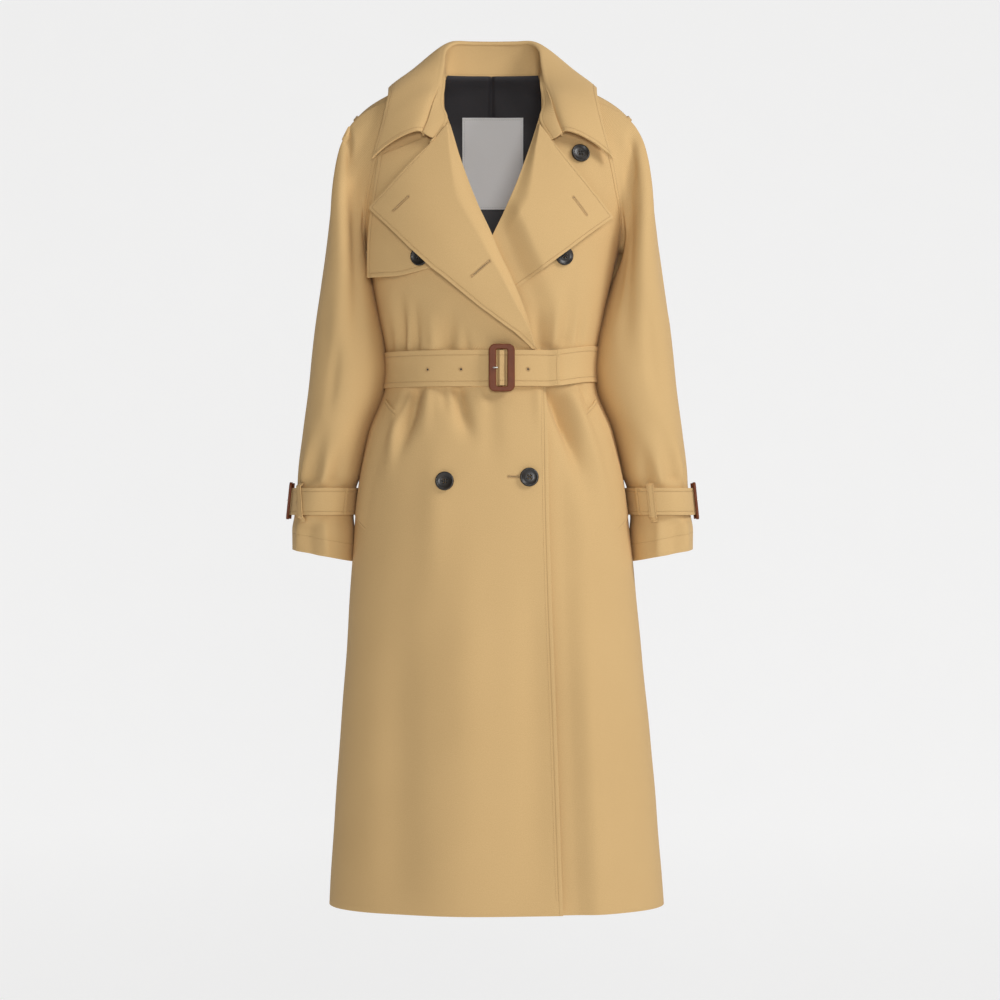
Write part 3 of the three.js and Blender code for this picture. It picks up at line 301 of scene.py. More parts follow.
def layCloth(name, place, columns, rows, wall, us=None, vs=None, stitched=None, welded=False):
    bm = bmesh.new()
    bmesh.ops.create_grid(bm, x_segments=columns, y_segments=rows, size=0.5)
    spots = np.array([vert.co[:] for vert in bm.verts])
    column = np.rint((spots[:, 0] + 0.5) * columns).astype(int)
    row = np.rint((spots[:, 1] + 0.5) * rows).astype(int)
    v, u = np.meshgrid(spread(vs, rows), spread(us, columns), indexing="ij")
    points = place(u, v, 0.0)
    across, along = np.gradient(points, axis=1), np.gradient(points, axis=0)
    if welded:
        across[:, 0] = across[:, -1] = points[:, 1] - points[:, -2]
    normals = unit(np.cross(across, along))
    middle = rows // 2, columns // 2
    if np.dot(place(u, v, 1.0)[middle] - points[middle], normals[middle]) < 0:
        normals = -normals
    alongU, alongV = runningLength(points, 1), runningLength(points, 0)
    distance = np.full(points.shape[:2], farFromSeams)
    fromEdge = {"u0": alongU, "u1": alongU[:, -1:] - alongU, "v0": alongV, "v1": alongV[-1:] - alongV}
    for edge, inset in (stitched or {}).items():
        near = fromEdge[edge] - inset
        distance = np.where(np.abs(near) < np.abs(distance), near, distance)
    weave = bm.loops.layers.uv.new("weave")
    seam = bm.verts.layers.float.new("seamDistance")
    for vert, r, c in zip(bm.verts, row, column):
        vert.co = points[r, c] * mm
        vert[seam] = distance[r, c] * mm
        for loop in vert.link_loops:
            loop[weave].uv = alongU[r, c] * mm, alongV[r, c] * mm
    bm.faces.ensure_lookup_table()
    bm.normal_update()
    centre = points[middle] * mm
    nearest = min(bm.faces, key=lambda face: (face.calc_center_median() - Vector(centre)).length_squared)
    if nearest.normal.dot(Vector(normals[middle])) < 0:
        bmesh.ops.reverse_faces(bm, faces=bm.faces)
    if welded:
        bmesh.ops.remove_doubles(bm, verts=bm.verts, dist=1e-6)
    area = sum(face.calc_area() for face in bm.faces)
    piece = finishMesh(name, bm)
    shell = piece.modifiers.new("wall", "SOLIDIFY")
    shell.thickness = wall * mm
    shell.offset = -1
    rounding = piece.modifiers.new("soft edges", "BEVEL")
    rounding.width = 0.28 * wall * mm
    rounding.segments = 2
    rounding.limit_method = "ANGLE"
    rounding.angle_limit = math.radians(55)
    pieces[name] = {"points": points, "normals": normals, "alongU": alongU, "alongV": alongV, "area": area}
    return piece


def finishMesh(name, bm):
    mesh = bpy.data.meshes.new(name)
    for face in bm.faces:
        face.smooth = True
    bm.to_mesh(mesh)
    bm.free()
    piece = bpy.data.objects.new(name, mesh)
    bpy.context.collection.objects.link(piece)
    return piece


def declareCloth(piece, nodes, material, flat):
    piece.data.materials.append(material)
    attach(piece, "root")
    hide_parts(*nodes)
    area = pieces[piece.name]["area"]
    print(piece.name, "sheet area %.4f m2" % area, "flat", flat)


def declarePart(piece, material, nodes=()):
    piece.data.materials.append(material)
    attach(piece, "root")
    if nodes:
        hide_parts(*nodes)


# finishes
def srgb(r, g, b):
    shares = (r / 255, g / 255, b / 255)
    return tuple(((c + 0.055) / 1.055) ** 2.4 if c > 0.04045 else c / 12.92 for c in shares) + (1,)


def newMaterial(name, roughness, **fixed):
    material = bpy.data.materials.new(name)
    material.use_nodes = True
    shader = material.node_tree.nodes["Principled BSDF"]
    shader.inputs["Roughness"].default_value = roughness
    for socket, value in fixed.items():
        shader.inputs[socket.replace("_", " ")].default_value = value
    return material, material.node_tree, shader


def addNode(tree, kind, settings=None, **inputs):
    node = tree.nodes.new("ShaderNode" + kind)
    for key, value in (settings or {}).items():
        setattr(node, key, value)
    for key, value in inputs.items():
        # i0 and i1 name a socket by its number, other words by its label
        byNumber = key[0] == "i" and key[1:].isdigit()
        socket = node.inputs[int(key[1:]) if byNumber else key.replace("_", " ")]
        if isinstance(value, bpy.types.NodeSocket):
            tree.links.new(value, socket)
        else:
            socket.default_value = value
    return node


def mathNode(tree, operation, a, b=0.0, clamp=False):
    return addNode(tree, "Math", {"operation": operation, "use_clamp": clamp}, i0=a, i1=b).outputs[0]


def plus(tree, a, b, clamp=False):
    return mathNode(tree, "ADD", a, b, clamp)


def times(tree, a, b):
    return mathNode(tree, "MULTIPLY", a, b)


def mixColour(tree, share, a, b, kind="MIX"):
    node = tree.nodes.new("ShaderNodeMix")
    node.data_type = "RGBA"
    node.blend_type = kind
    for socket, value in ((node.inputs[0], share), (node.inputs[6], a), (node.inputs[7], b)):
        if isinstance(value, bpy.types.NodeSocket):
            tree.links.new(value, socket)
        else:
            socket.default_value = value
    return node.outputs[2]


def bandsNode(tree, direction, place, scale, distortion, **inputs):
    settings = {"bands_direction": direction}
    return addNode(
        tree, "TexWave", settings, Vector=place, Scale=scale, Distortion=distortion, **inputs
    ).outputs["Fac"]


def rampNode(tree, share, low, high):
    # two colours, each with the share at which it begins
    ramp = addNode(tree, "ValToRGB", Fac=share)
    for element, (position, colour) in zip(ramp.color_ramp.elements, (low, high)):
        element.position = position
        element.color = colour
    return ramp.outputs[0]


def clothMaterial(name, look):
    material, tree, shader = newMaterial(
        name, look["roughness"], Sheen_Weight=look["sheen"], Sheen_Roughness=0.5
    )
    shader.inputs["Specular IOR Level"].default_value = look["specular"]
    weave = addNode(tree, "UVMap", {"uv_map": "weave"}).outputs[0]
    place = addNode(tree, "TexCoord").outputs["Object"]
    turned = addNode(
        tree, "Mapping", Vector=weave, Rotation=(0, 0, math.radians(look["twillAngle"]))
    ).outputs[0]
    rib = bandsNode(tree, "X", turned, look["ribScale"], 0.35, Detail=1.0)
    cross = bandsNode(tree, "Y", weave, look["yarnScale"], 0.5, Detail=1.0)
    slub = addNode(
        tree, "TexNoise", Vector=weave, Scale=look["slubScale"], Detail=4.0, Roughness=0.6
    ).outputs["Fac"]
    cloud = addNode(tree, "TexNoise", Vector=place, Scale=look["cloudScale"], Detail=3.0).outputs["Fac"]
    yarns = plus(tree, times(tree, rib, 0.65), times(tree, cross, 0.35))
    tone = plus(tree, times(tree, yarns, 0.4), times(tree, slub, 0.6))
    toned = rampNode(tree, tone, (0.25, look["shade"]), (0.75, look["light"]))
    clouded = mixColour(tree, times(tree, cloud, look["cloudShare"]), toned, look["deep"])
    # the seam line sinks a little and puckers beside its stitches, and its colour is painted darker there as
    # shade in the groove
    away = addNode(tree, "Attribute", {"attribute_name": "seamDistance"}).outputs["Fac"]
    away = mathNode(tree, "ABSOLUTE", away)
    near = mathNode(tree, "SUBTRACT", 1.0, mathNode(tree, "DIVIDE", away, look["seamHalf"]), True)
    wide = mathNode(tree, "SUBTRACT", 1.0, mathNode(tree, "DIVIDE", away, look["puckerHalf"]), True)
    pucker = addNode(tree, "TexNoise", Vector=weave, Scale=150.0, Detail=2.0).outputs["Fac"]
    groove = plus(tree, near, times(tree, times(tree, wide, pucker), 0.9))
    seamPaintedDark = mixColour(tree, times(tree, near, look["seamPaintedShade"]), clouded, look["deep"])
    tree.links.new(seamPaintedDark, shader.inputs["Base Color"])
    fine = addNode(tree, "Bump", Strength=look["bump"], Distance=look["bumpDepth"], Height=yarns)
    deep = addNode(
        tree, "Bump", {"invert": True}, Strength=0.6, Distance=0.0005, Height=groove, Normal=fine.outputs[0]
    )
    tree.links.new(deep.outputs[0], shader.inputs["Normal"])
    worn = plus(tree, look["roughness"] - 0.06, times(tree, slub, 0.12), True)
    tree.links.new(worn, shader.inputs["Roughness"])
    return material


twillFinish = {
    "roughness": 0.86, "sheen": 0.04, "specular": 0.16, "twillAngle": 58, "ribScale": 260.0,
    "yarnScale": 420.0,
    "slubScale": 700.0, "cloudScale": 5.0, "cloudShare": 0.16, "bump": 0.35, "bumpDepth": 0.0003,
    "light": srgb(224, 190, 138), "shade": srgb(202, 167, 113), "deep": srgb(164, 124, 72),
    # seam widths, and how far the seam line is painted darker as shade in its groove
    "seamHalf": 0.0010, "puckerHalf": 0.005, "seamPaintedShade": 0.2,
}
liningFinish = dict(
    twillFinish, roughness=0.55, sheen=0.05, specular=0.45, twillAngle=45, ribScale=420.0, cloudShare=0.3,
    bump=0.2,
    light=srgb(56, 54, 58), shade=srgb(38, 36, 40), deep=srgb(24, 23, 26), seamPaintedShade=0.3,
)
labelFinish = dict(
    twillFinish, roughness=0.6, sheen=0.05, twillAngle=90, ribScale=520.0, cloudShare=0.06, bump=0.25,
    light=srgb(250, 250, 250), shade=srgb(242, 242, 242), deep=srgb(212, 212, 214), seamPaintedShade=0.2,
)
twill = clothMaterial("twill", twillFinish)
liningCloth = clothMaterial("lining cloth", liningFinish)
labelCloth = clothMaterial("label cloth", labelFinish)


def threadMaterial(name, light, dark):
    material, tree, shader = newMaterial(name, 0.6, Sheen_Weight=0.2)
    place = addNode(tree, "TexCoord").outputs["Object"]
    twist = bandsNode(tree, "DIAGONAL", place, 600.0, 0.6)
    tree.links.new(mixColour(tree, twist, dark, light), shader.inputs["Base Color"])
    bump = addNode(tree, "Bump", Strength=0.5, Distance=0.0001, Height=twist)
    tree.links.new(bump.outputs[0], shader.inputs["Normal"])
    return material


tanThread = threadMaterial("tan thread", srgb(212, 178, 126), srgb(170, 134, 84))
whiteThread = threadMaterial("white thread", srgb(236, 236, 236), srgb(196, 196, 198))
# the black thread finish also fills buttonhole slits and eyelet holes as painted shade
blackThreadAndHoleShade = threadMaterial("black thread and painted hole shade", srgb(52, 48, 44), srgb(24, 22, 20))


def leatherMaterial(name, look):
    material, tree, shader = newMaterial(name, look["roughness"], Specular_IOR_Level=0.3)
    place = addNode(tree, "TexCoord").outputs["Object"]
    grain = addNode(tree, "TexVoronoi", Vector=place, Scale=look["grainScale"]).outputs["Distance"]
    pores = addNode(tree, "TexNoise", Vector=place, Scale=look["poreScale"], Detail=4.0).outputs["Fac"]
    cloud = addNode(tree, "TexNoise", Vector=place, Scale=60.0, Detail=2.0).outputs["Fac"]
    body = mixColour(tree, cloud, look["dark"], look["light"])
    tree.links.new(
        mixColour(tree, times(tree, pores, 0.4), body, look["pore"]), shader.inputs["Base Color"]
    )
    height = plus(tree, grain, times(tree, pores, 0.4))
    bump = addNode(tree, "Bump", Strength=0.45, Distance=0.00035, Height=height)
    tree.links.new(bump.outputs[0], shader.inputs["Normal"])
    rough = plus(tree, look["roughness"] - 0.08, times(tree, pores, 0.18), True)
    tree.links.new(rough, shader.inputs["Roughness"])
    return material


leather = leatherMaterial("brown leather", {
    "roughness": 0.46, "grainScale": 900.0, "poreScale": 1500.0,
    "light": srgb(132, 68, 32), "dark": srgb(100, 47, 20), "pore": srgb(56, 26, 12),
})


def hornMaterial(name):
    material, tree, shader = newMaterial(name, 0.42, Coat_Weight=0.18, Coat_Roughness=0.2)
    place = addNode(tree, "TexCoord").outputs["Object"]
    streak = addNode(tree, "TexNoise", Vector=place, Scale=55.0, Detail=5.0, Distortion=1.6).outputs["Fac"]
    streaked = rampNode(tree, streak, (0.42, srgb(20, 18, 16)), (0.72, srgb(42, 34, 27)))
    tree.links.new(streaked, shader.inputs["Base Color"])
    fine = addNode(tree, "TexNoise", Vector=place, Scale=1400.0, Detail=2.0).outputs["Fac"]
    bump = addNode(tree, "Bump", Strength=0.12, Distance=0.0001, Height=fine)
    tree.links.new(bump.outputs[0], shader.inputs["Normal"])
    return material


def steelMaterial(name):
    material, tree, shader = newMaterial(name, 0.3, Metallic=1.0, Anisotropic=0.4)
    place = addNode(tree, "TexCoord").outputs["Object"]
    stretched = addNode(tree, "Mapping", Vector=place, Scale=(200, 200, 3000)).outputs[0]
    brush = addNode(tree, "TexNoise", Vector=stretched, Scale=1.0, Detail=3.0).outputs["Fac"]
    tree.links.new(
        mixColour(tree, brush, srgb(186, 184, 178), srgb(222, 220, 214)), shader.inputs["Base Color"]
    )
    tree.links.new(plus(tree, 0.22, times(tree, brush, 0.18)), shader.inputs["Roughness"])
    return material


horn = hornMaterial("dark horn")
steel = steelMaterial("satin steel")
print("finishes made")

# body panels
bodyPanels = {
    "front_right": {"columns": 112, "rows": 212, "flat": (0.46, 1.16, 0.40), "stitchInset": (5.5, 9.0)},
    "front_left": {"columns": 100, "rows": 212, "flat": (0.45, 1.16, 0.37)},
    "back_right": {"columns": 75, "rows": 212, "flat": (0.33, 1.19, 0.30)},
    "back_left": {"columns": 75, "rows": 212, "flat": (0.33, 1.19, 0.30)},
}
tuckedLift = -5.6  # the under lapel between the two fronts
underLift = -9.2  # the under front behind the upper one


def underCover(x, z):
    return 1 - softStep((x - edgeAt["right"](z) - 18) / 34)


def placeFront(side):
    edge = edgeAt["right" if side < 0 else "left"]

    def place(u, z, lift):
        half = torsoColumn["half"](z)
        reach = np.where(z >= underarm, reachFront(z), half + 9)
        outer = turnAt(centreX + side * reach, z) - side * seamGap / 2 / half
        outer = np.where(z >= underarm, outer, side * (math.pi / 2 - seamGap / 2 / half))
        turn = blend(outer, turnAt(edge(z), z), u)
        x = torsoPoint(turn, z, 0)[..., 0]
        under = (underLift + shellWall) * underCover(x, z) if side > 0 else 0
        return torsoPoint(turn, z, lift + under)

    return place


def placeBack(side):
    # the back has a seam down its middle
    def place(u, z, lift):
        half = torsoColumn["half"](z)
        gap = seamGap / 2 / half
        beside = np.where(
            z >= underarm, turnAt(centreX + side * reachBack(z), z, False), side * math.pi / 2
        )
        outer = beside + gap if side > 0 else 2 * math.pi + beside - gap
        return torsoPoint(blend(outer, math.pi - side * gap, u if side > 0 else 1 - u), z, lift)

    return place


for name, place, top in (
    ("front_right", placeFront(-1), neckFront), ("front_left", placeFront(1), neckFront),
    ("back_right", placeBack(-1), neckBack), ("back_left", placeBack(1), neckBack),
):
    look = bodyPanels[name]
    heights = np.concatenate(
        [np.linspace(torso["z"][0], underarm, 180), np.linspace(underarm, top, 57)[1:]]
    )
    inset = {"u1": look["stitchInset"][0]} if name == "front_right" else {}
    panel = layCloth(
        name + "_cloth", place, look["columns"], look["rows"] - 1, shellWall, vs=heights, stitched=inset
    )
    declareCloth(
        panel, [name], twill, look["flat"]
    )
print("body panels laid")


# sleeves: rings from the cuff to the underarm, then a cap that runs up to the raglan seam and the neckline
sleeveRings = {
    "z": [-648, -618, -596, -558, -536, -480, -420, -360, -310, -265],
    "gap": [-1.4, 0.2, 3.4, 3.4, -1.4, -1.8, -1.6, -1.6, -1.8, -1.8],
    "outer": [285, 285, 281.5, 278, 277, 270, 262.5, 256, 250, 243],
    "front": [-46, -47, -46, -46, -50, -54, -58, -63, -68, -73],
    "back": [66, 67, 66, 66, 71, 76, 80, 83, 86, 88],
}
sleeveColumn = {key: smoothCurve(sleeveRings["z"], sleeveRings[key]) for key in sleeveRings if key != "z"}
# turn in degrees (0 faces the body, 90 the front), height, half width, depth, growth and fade as for the body
sleeveFolds = [
    ((118, 108), (-556, -450), 16, -7, 0.12, 0.7),
    ((70, 78), (-556, -480), 13, -5, 0.12, 0.7),
    ((232, 240), (-556, -470), 15, -6, 0.12, 0.7),
    ((112, 106), (-600, -680), 15, -6, 0.15, 0.3),
    ((245, 250), (-600, -680), 15, -5, 0.15, 0.3),
    ((60, 84), (-200, -430), 18, -8, 0.3, 0.6),
    ((290, 262), (-250, -430), 18, -6, 0.3, 0.6),
    ((94, 92), (-556, -500), 7, 3.5, 0.15, 0.8),
    ((140, 134), (-556, -470), 9, 3.5, 0.15, 0.8),
    ((150, 158), (-556, -505), 6, -3, 0.15, 0.8),
    ((85, 80), (-600, -660), 8, 3, 0.2, 0.4),
    ((135, 140), (-600, -660), 9, 3, 0.2, 0.4),
    ((205, 212), (-556, -490), 8, -3.5, 0.15, 0.8),
    ((262, 270), (-556, -480), 9, -4, 0.15, 0.8),
    ((250, 250), (-556, -500), 7, 3.5, 0.15, 0.8),
]
# creases of the upper sleeve, given by x from the centre line and z on its front or back
capFolds = {
    "right": [
        ("front", (206, 197), (-44, -128), 6, -6, 0.35, 0.45),
        ("front", (200, 190), (-60, -230), 9, -3, 0.3, 0.5),
        ("front", (222, 214), (-70, -300), 13, 3, 0.4, 0.4),
        ("front", (232, 238), (-260, -420), 10, -3, 0.4, 0.5),
        ("front", (214, 232), (-330, -480), 9, -4, 0.4, 0.5),
        ("back", (196, 214), (-90, -330), 11, -5, 0.3, 0.5),
        ("back", (216, 236), (-160, -420), 12, 3, 0.3, 0.5),
    ],
    "left": [
        ("front", (196, 193), (-48, -160), 8, -7, 0.3, 0.5),
        ("front", (192, 166), (-150, -340), 9, -6, 0.3, 0.4),
        ("front", (218, 212), (-80, -300), 13, 3, 0.4, 0.4),
        ("front", (216, 232), (-280, -450), 10, -4, 0.4, 0.5),
        ("front", (238, 246), (-200, -330), 9, -2.5, 0.4, 0.5),
        ("back", (194, 216), (-100, -340), 11, -5, 0.3, 0.5),
        ("back", (218, 238), (-170, -430), 12, 3, 0.3, 0.5),
    ],
}
capStart = -265
seamStations = 23


def ringPoint(side, turn, z, lift):
    turn, z, lift = np.broadcast_arrays(*(np.asarray(a, float) for a in (turn, z, lift)))
    ring = {key: sleeveColumn[key](z) for key in sleeveColumn}
    inner = torsoColumn["half"](z) + (torsoColumn["shift"](z) - centreX) * side + ring["gap"]
    s, c = np.sin(turn), np.cos(turn)
    fold = 0.4 * np.sin(turn * 5 + z / 41) * np.sin(z / 37 + turn * 2)
    degrees = np.degrees(turn) % 360
    for (turn0, turn1), (z0, z1), width, deep, rise, fade in sleeveFolds:
        along = (z - z0) / (z1 - z0)
        off = (degrees - blend(turn0, turn1, along)) / width
        fold = fold + deep * foldShape(off, along, rise, fade)
    power = 2 / 2.15
    halfX = (ring["outer"] - inner) / 2 + lift + fold
    halfY = (ring["back"] - ring["front"]) / 2 + lift + fold
    x = (inner + ring["outer"]) / 2 - halfX * np.sign(c) * np.abs(c) ** power
    y = (ring["front"] + ring["back"]) / 2 - halfY * np.sign(s) * np.abs(s) ** power
    return vec(centreX + side * x, y, z)


def neckArc(side):
    back = torsoPoint(turnAt(centreX + side * 71, neckBack, False), neckBack, 0)
    front = torsoPoint(turnAt(centreX + side * 68.5, neckFront), neckFront, 0)
    return throughPoints([back, (centreX + side * 69, 24, 32), (centreX + side * 68.5, 2, 22), front])


def seamLoop(side, count):
    # the raglan seam all round the armhole and shoulder, with the way the cloth arrives at each place
    column = np.linspace(0, seamStations, count, endpoint=False)
    frontZ = np.interp(column, np.arange(10), raglanFront["z"])
    backZ = np.interp(column, np.arange(13, 24), raglanBack["z"][::-1])
    frontTurn = turnAt(centreX + side * reachFront(frontZ), frontZ)
    backTurn = turnAt(centreX + side * reachBack(backZ), backZ, False)
    frontPoint = torsoPoint(frontTurn, frontZ, 0)
    backPoint = torsoPoint(backTurn, backZ, 0)
    arc = neckArc(side)
    neckStart = torsoPoint(turnAt(centreX + side * raglanFront["reach"][-1], neckFront), neckFront, 0)
    neckPoint = arc(np.interp(column, [10, 13], [1, 0]))
    bridge = blend(neckStart, arc(1.0), np.clip(column - 9, 0, 1)[:, None])
    onFront, onBridge, onNeck = column <= 9, (column > 9) & (column < 10), (column >= 10) & (column < 13)
    pick = [onFront[:, None], onBridge[:, None], onNeck[:, None]]
    point = np.select(pick, [frontPoint, bridge, neckPoint], backPoint)
    z = np.select([onFront, onBridge | onNeck], [frontZ, np.full(count, float(neckFront))], backZ)
    turn = np.where(onFront, frontTurn, backTurn)
    normal = torsoNormal(turn, z)
    normal = np.where((onBridge | onNeck)[:, None], unit(vec(side * 0.45, 0, 0.9)), normal)
    low = np.where(onBridge | onNeck, 0, softStep((-150 - z) / 75))[:, None]
    top = np.where(onBridge | onNeck, 0.6, softStep((z + 90) / 70))[:, None]
    tangent = unit(np.roll(point, -1, 0) - np.roll(point, 1, 0))
    inward = unit(np.cross(tangent, normal) * -side)
    inward[0] = unit(vec(-side, 0, 0.2))
    arrive = blend(blend(inward, vec(-side, 0, 0.15), low), vec(-side, 0, 0.3), top)
    reach = max(1, count // 46)
    arrive = sum(np.roll(arrive, k, 0) for k in range(-reach, reach + 1))
    point = point - inward * 1.6 * 0.3 * (1 - low) + vec(side * 0.55, 0, 0.75) * low
    return point, unit(arrive)


def capMaker(side, count):
    seamPoint, arrive = seamLoop(side, count)

    def place(column, v):
        low = np.floor(column).astype(int) % count
        share = (column - np.floor(column))[..., None]
        turn = column / count * 2 * math.pi
        end = blend(seamPoint[low], seamPoint[(low + 1) % count], share)
        way = unit(blend(arrive[low], arrive[(low + 1) % count], share))
        start = ringPoint(side, turn, capStart, 0)
        leave = unit(start - ringPoint(side, turn, capStart - 25, 0))
        span = np.linalg.norm(end - start, axis=-1, keepdims=True)
        outer = (np.sin(turn / 2) ** 2)[..., None]
        first = start + leave * span * blend(0.33, 0.70, outer)
        second = end - way * span * blend(0.12, 0.5, outer)
        return bezier(start, first, second, end, v)

    return place


sleeveLook = {"columns": 115, "tubeRows": 96, "capRows": 76, "flat": (0.40, 0.68, 0.20), "ridgeY": 8}
sideOf = {"right": -1, "left": 1}
capPlace = {name: capMaker(sideOf[name], sleeveLook["columns"]) for name in sideOf}


def placeSleeve(name):
    side, count = sideOf[name], sleeveLook["columns"]

    def place(u, v, lift):
        # v runs from 0 at the cuff to 1 at the underarm and 2 at the raglan seam
        turn = u * 2 * math.pi
        tube = ringPoint(side, turn, blend(sleeveRings["z"][0], capStart, np.clip(v, 0, 1)), 0)
        drop = (5.5 + 8.5 * np.cos(turn)) * (1 - softStep(v / 0.11))
        tube = tube - drop[..., None] * vec(0, 0, 1)
        cap = capPlace[name](u * count, np.clip(v - 1, 0, 1))
        points = np.where((v <= 1)[..., None], tube, cap)
        normals = unit(np.cross(np.gradient(points, axis=1), np.gradient(points, axis=0)))
        outward = np.sign(np.sum(normals[3, :, :] * (points[3] - points[3].mean(0)), axis=-1).mean())
        x, y, z = (points[..., 0] - centreX) * side, points[..., 1], points[..., 2]
        depth = np.zeros_like(x)
        for face, (x0, x1), (z0, z1), width, deep, rise, fade in capFolds[name]:
            along = (z - z0) / (z1 - z0)
            off = (x - blend(x0, x1, along)) / width
            facing = (y < sleeveLook["ridgeY"]) == (face == "front")
            depth = depth + np.where(facing, deep * foldShape(off, along, rise, fade), 0)
        depth = depth * softStep((2 - v) / 0.12)
        return points + normals * outward * (depth[..., None] + lift)

    return place


for name in sideOf:
    vs = np.concatenate(
        [np.linspace(0, 1, sleeveLook["tubeRows"] + 1), np.linspace(1, 2, sleeveLook["capRows"] + 1)[1:]]
    )
    sleeve = layCloth(
        "sleeve_" + name + "_cloth", placeSleeve(name), sleeveLook["columns"], len(vs) - 1, shellWall,
        vs=vs, stitched={"v0": 24}, welded=True,
    )
    declareCloth(
        sleeve, ["sleeve_" + name], twill, sleeveLook["flat"],
    )
print("sleeves laid")

# collar: a stand round the neck and a fall turned down over it
lapelRight = {
    "roll": [-365.5, -335, -300, -262, -225, -190, -155, -122, -88, -53],
    "x": [52.5, 28, -16.5, -49, -84, -129, -166.5, -139.5, -110.5, -81],
    "z": [-365.5, -341, -309, -282.5, -255, -210, -170, -139.5, -108.5, -79.5],
}
lapelLeft = {
    "roll": [-278, -262, -225, -190, -155, -122, -88, -53],
    "x": [8, 34, 88, 125, 158.5, 129, 98.5, 79],
    "z": [-301, -282, -239.5, -210.5, -183, -142, -104, -80.5],
}
collarRoll = [
    (0, 66, 85), (30, 64, 85), (54, 57, 84), (67, 39, 72), (71, 11, 45), (75, -17, 15), (82, -50, -11),
    (90, -75, -43), (97, -88, -65)
]
collarEdge = [
    ("back", 0, 12, 6), ("back", 52, 10, 6), ("back", 98, 4, 9), ("back", 130, 3, 10), ("side", 0, 9, 5),
    ("front", 143, -12, 10), ("front", 148, -44, 10), ("front", 154, -76, 12), ("front", 160, -102, 13),
]
collarLook = {
    "columns": 150, "standRows": 22, "fallRows": 48, "stitchInset": 6.0, "overShare": 0.12,
    "overReach": 6.6, "overDrop": 5.0,
}


def collarFoot(side, i):
    if i < 3:
        return torsoPoint(turnAt(centreX + side * i * 33, neckBack, False), neckBack, 0)
    if i < 6:
        return neckArc(side)([0.3, 0.62, 0.92][i - 3])
    edge = edgeAt["right" if side < 0 else "left"]
    if i == 6:
        return torsoPoint(turnAt(edge(-22) + side * 3, -22), -22, 1)
    if i == 7:
        return chestPoint(edge(-48) + side * 4, -47, 3)
    outline = lapelRight if side < 0 else lapelLeft
    return chestPoint(outline["x"][-1], outline["z"][-1], 8) + vec(0, 0, 1)


def collarEdgePoint(side, i):
    face, x, z, lift = collarEdge[i]
    if face == "side":
        return torsoPoint(side * math.pi / 2, z, lift)
    return torsoPoint(turnAt(centreX + side * x, z, face == "front"), z, lift, folded=False)


stations = [(-1, i) for i in range(8, -1, -1)] + [(1, i) for i in range(1, 9)]
rollLine = throughPoints([vec(centreX + s * collarRoll[i][0], *collarRoll[i][1:]) for s, i in stations])
footLine = throughPoints([collarFoot(s, i) for s, i in stations])
edgeLine = throughPoints([collarEdgePoint(s, i) for s, i in stations])


def awayFrom(point):
    return unit(vec(point[..., 0] - centreX, point[..., 1] + 10, 0 * point[..., 0]))


def placeStand(u, v, lift):
    point = blend(footLine(u), rollLine(u), v[..., None])
    point = point + awayFrom(point) * (3 * np.sin(math.pi * v))[..., None] + vec(0, 0, 0.7)
    return point + awayFrom(point) * lift


def placeFall(u, v, lift):
    roll = rollLine(u)
    away = awayFrom(roll)
    roll = roll + vec(0, 0, 2.2) + away * 1.6
    edge = edgeLine(u)
    span = np.linalg.norm(roll - edge, axis=-1, keepdims=True)
    first = roll + away * 0.16 * span + vec(0, 0, 1) * 0.05 * span
    second = blend(edge, roll, 0.3) + away * 0.05 * span + vec(0, 0, 1) * 0.12 * span
    point = bezier(roll, first, second, edge, np.maximum(v, 0))
    # above the roll line the cloth turns over the stand and down its inside
    over = np.radians(105) * np.clip(-v / collarLook["overShare"], 0, 1)[..., None]
    point = point - away * collarLook["overReach"] * np.sin(over)
    point = point - vec(0, 0, collarLook["overDrop"]) * (1 - np.cos(over))
    swell = (np.sin(math.pi * v) * (0.8 * np.sin(u * 37) + 0.6 * np.sin(u * 71 + 1)))[..., None]
    return point + away * (lift + firmWall + 0.4 * swell)


stand = layCloth(
    "collar_stand_cloth", placeStand, collarLook["columns"], collarLook["standRows"], shellWall,
    vs=[-0.03, 0.93], stitched={"v0": 4}
)
fall = layCloth(
    "collar_fall_cloth", placeFall, collarLook["columns"], collarLook["fallRows"], firmWall,
    vs=np.concatenate([np.linspace(-collarLook["overShare"], 0, 13), np.linspace(0, 1, 37)[1:]]),
    stitched={
        "v1": collarLook["stitchInset"], "u0": collarLook["stitchInset"], "u1": collarLook["stitchInset"]
    },
)
declareCloth(
    stand, ["collar_stand"], twill, (0.42, 0.06, 0.0165),
)
declareCloth(fall, ["collar_fall"], twill, (0.62, 0.12, 0.056))

# lapels, storm flap and pocket welts
lapelLook = {
    "columns": 60, "rows": 110, "stitchInset": 6.0, "flatRight": (0.21, 0.36, 0.033),
    "flatLeft": (0.19, 0.26, 0.026)
}


def placeLapel(side, outline):
    edge = edgeAt["right" if side < 0 else "left"]
    knots = np.linspace(0, 1, len(outline["roll"]))

    def place(u, v, lift):
        rollZ, outX, outZ = (np.interp(v, knots, outline[key]) for key in ("roll", "x", "z"))
        x, z = blend(edge(rollZ), outX, u), blend(rollZ, outZ, u)
        rise = softStep(u / 0.18)
        opened = blend(0.9, 9.5, rise) + 2 * np.sin(math.pi * v) * rise
        wave = 0.6 * np.sin(x / 19 + z / 31) * np.sin(u * math.pi)
        if side < 0:
            return chestPoint(x, z, lift + firmWall + wave + blend(0.9, opened, softStep(v / 0.12)))
        hidden = underCover(x, z)[..., None]
        under = torsoPoint(turnAt(x, z), z, lift + tuckedLift + shellWall)
        return blend(chestPoint(x, z, lift + shellWall + opened + wave), under, hidden)

    return place


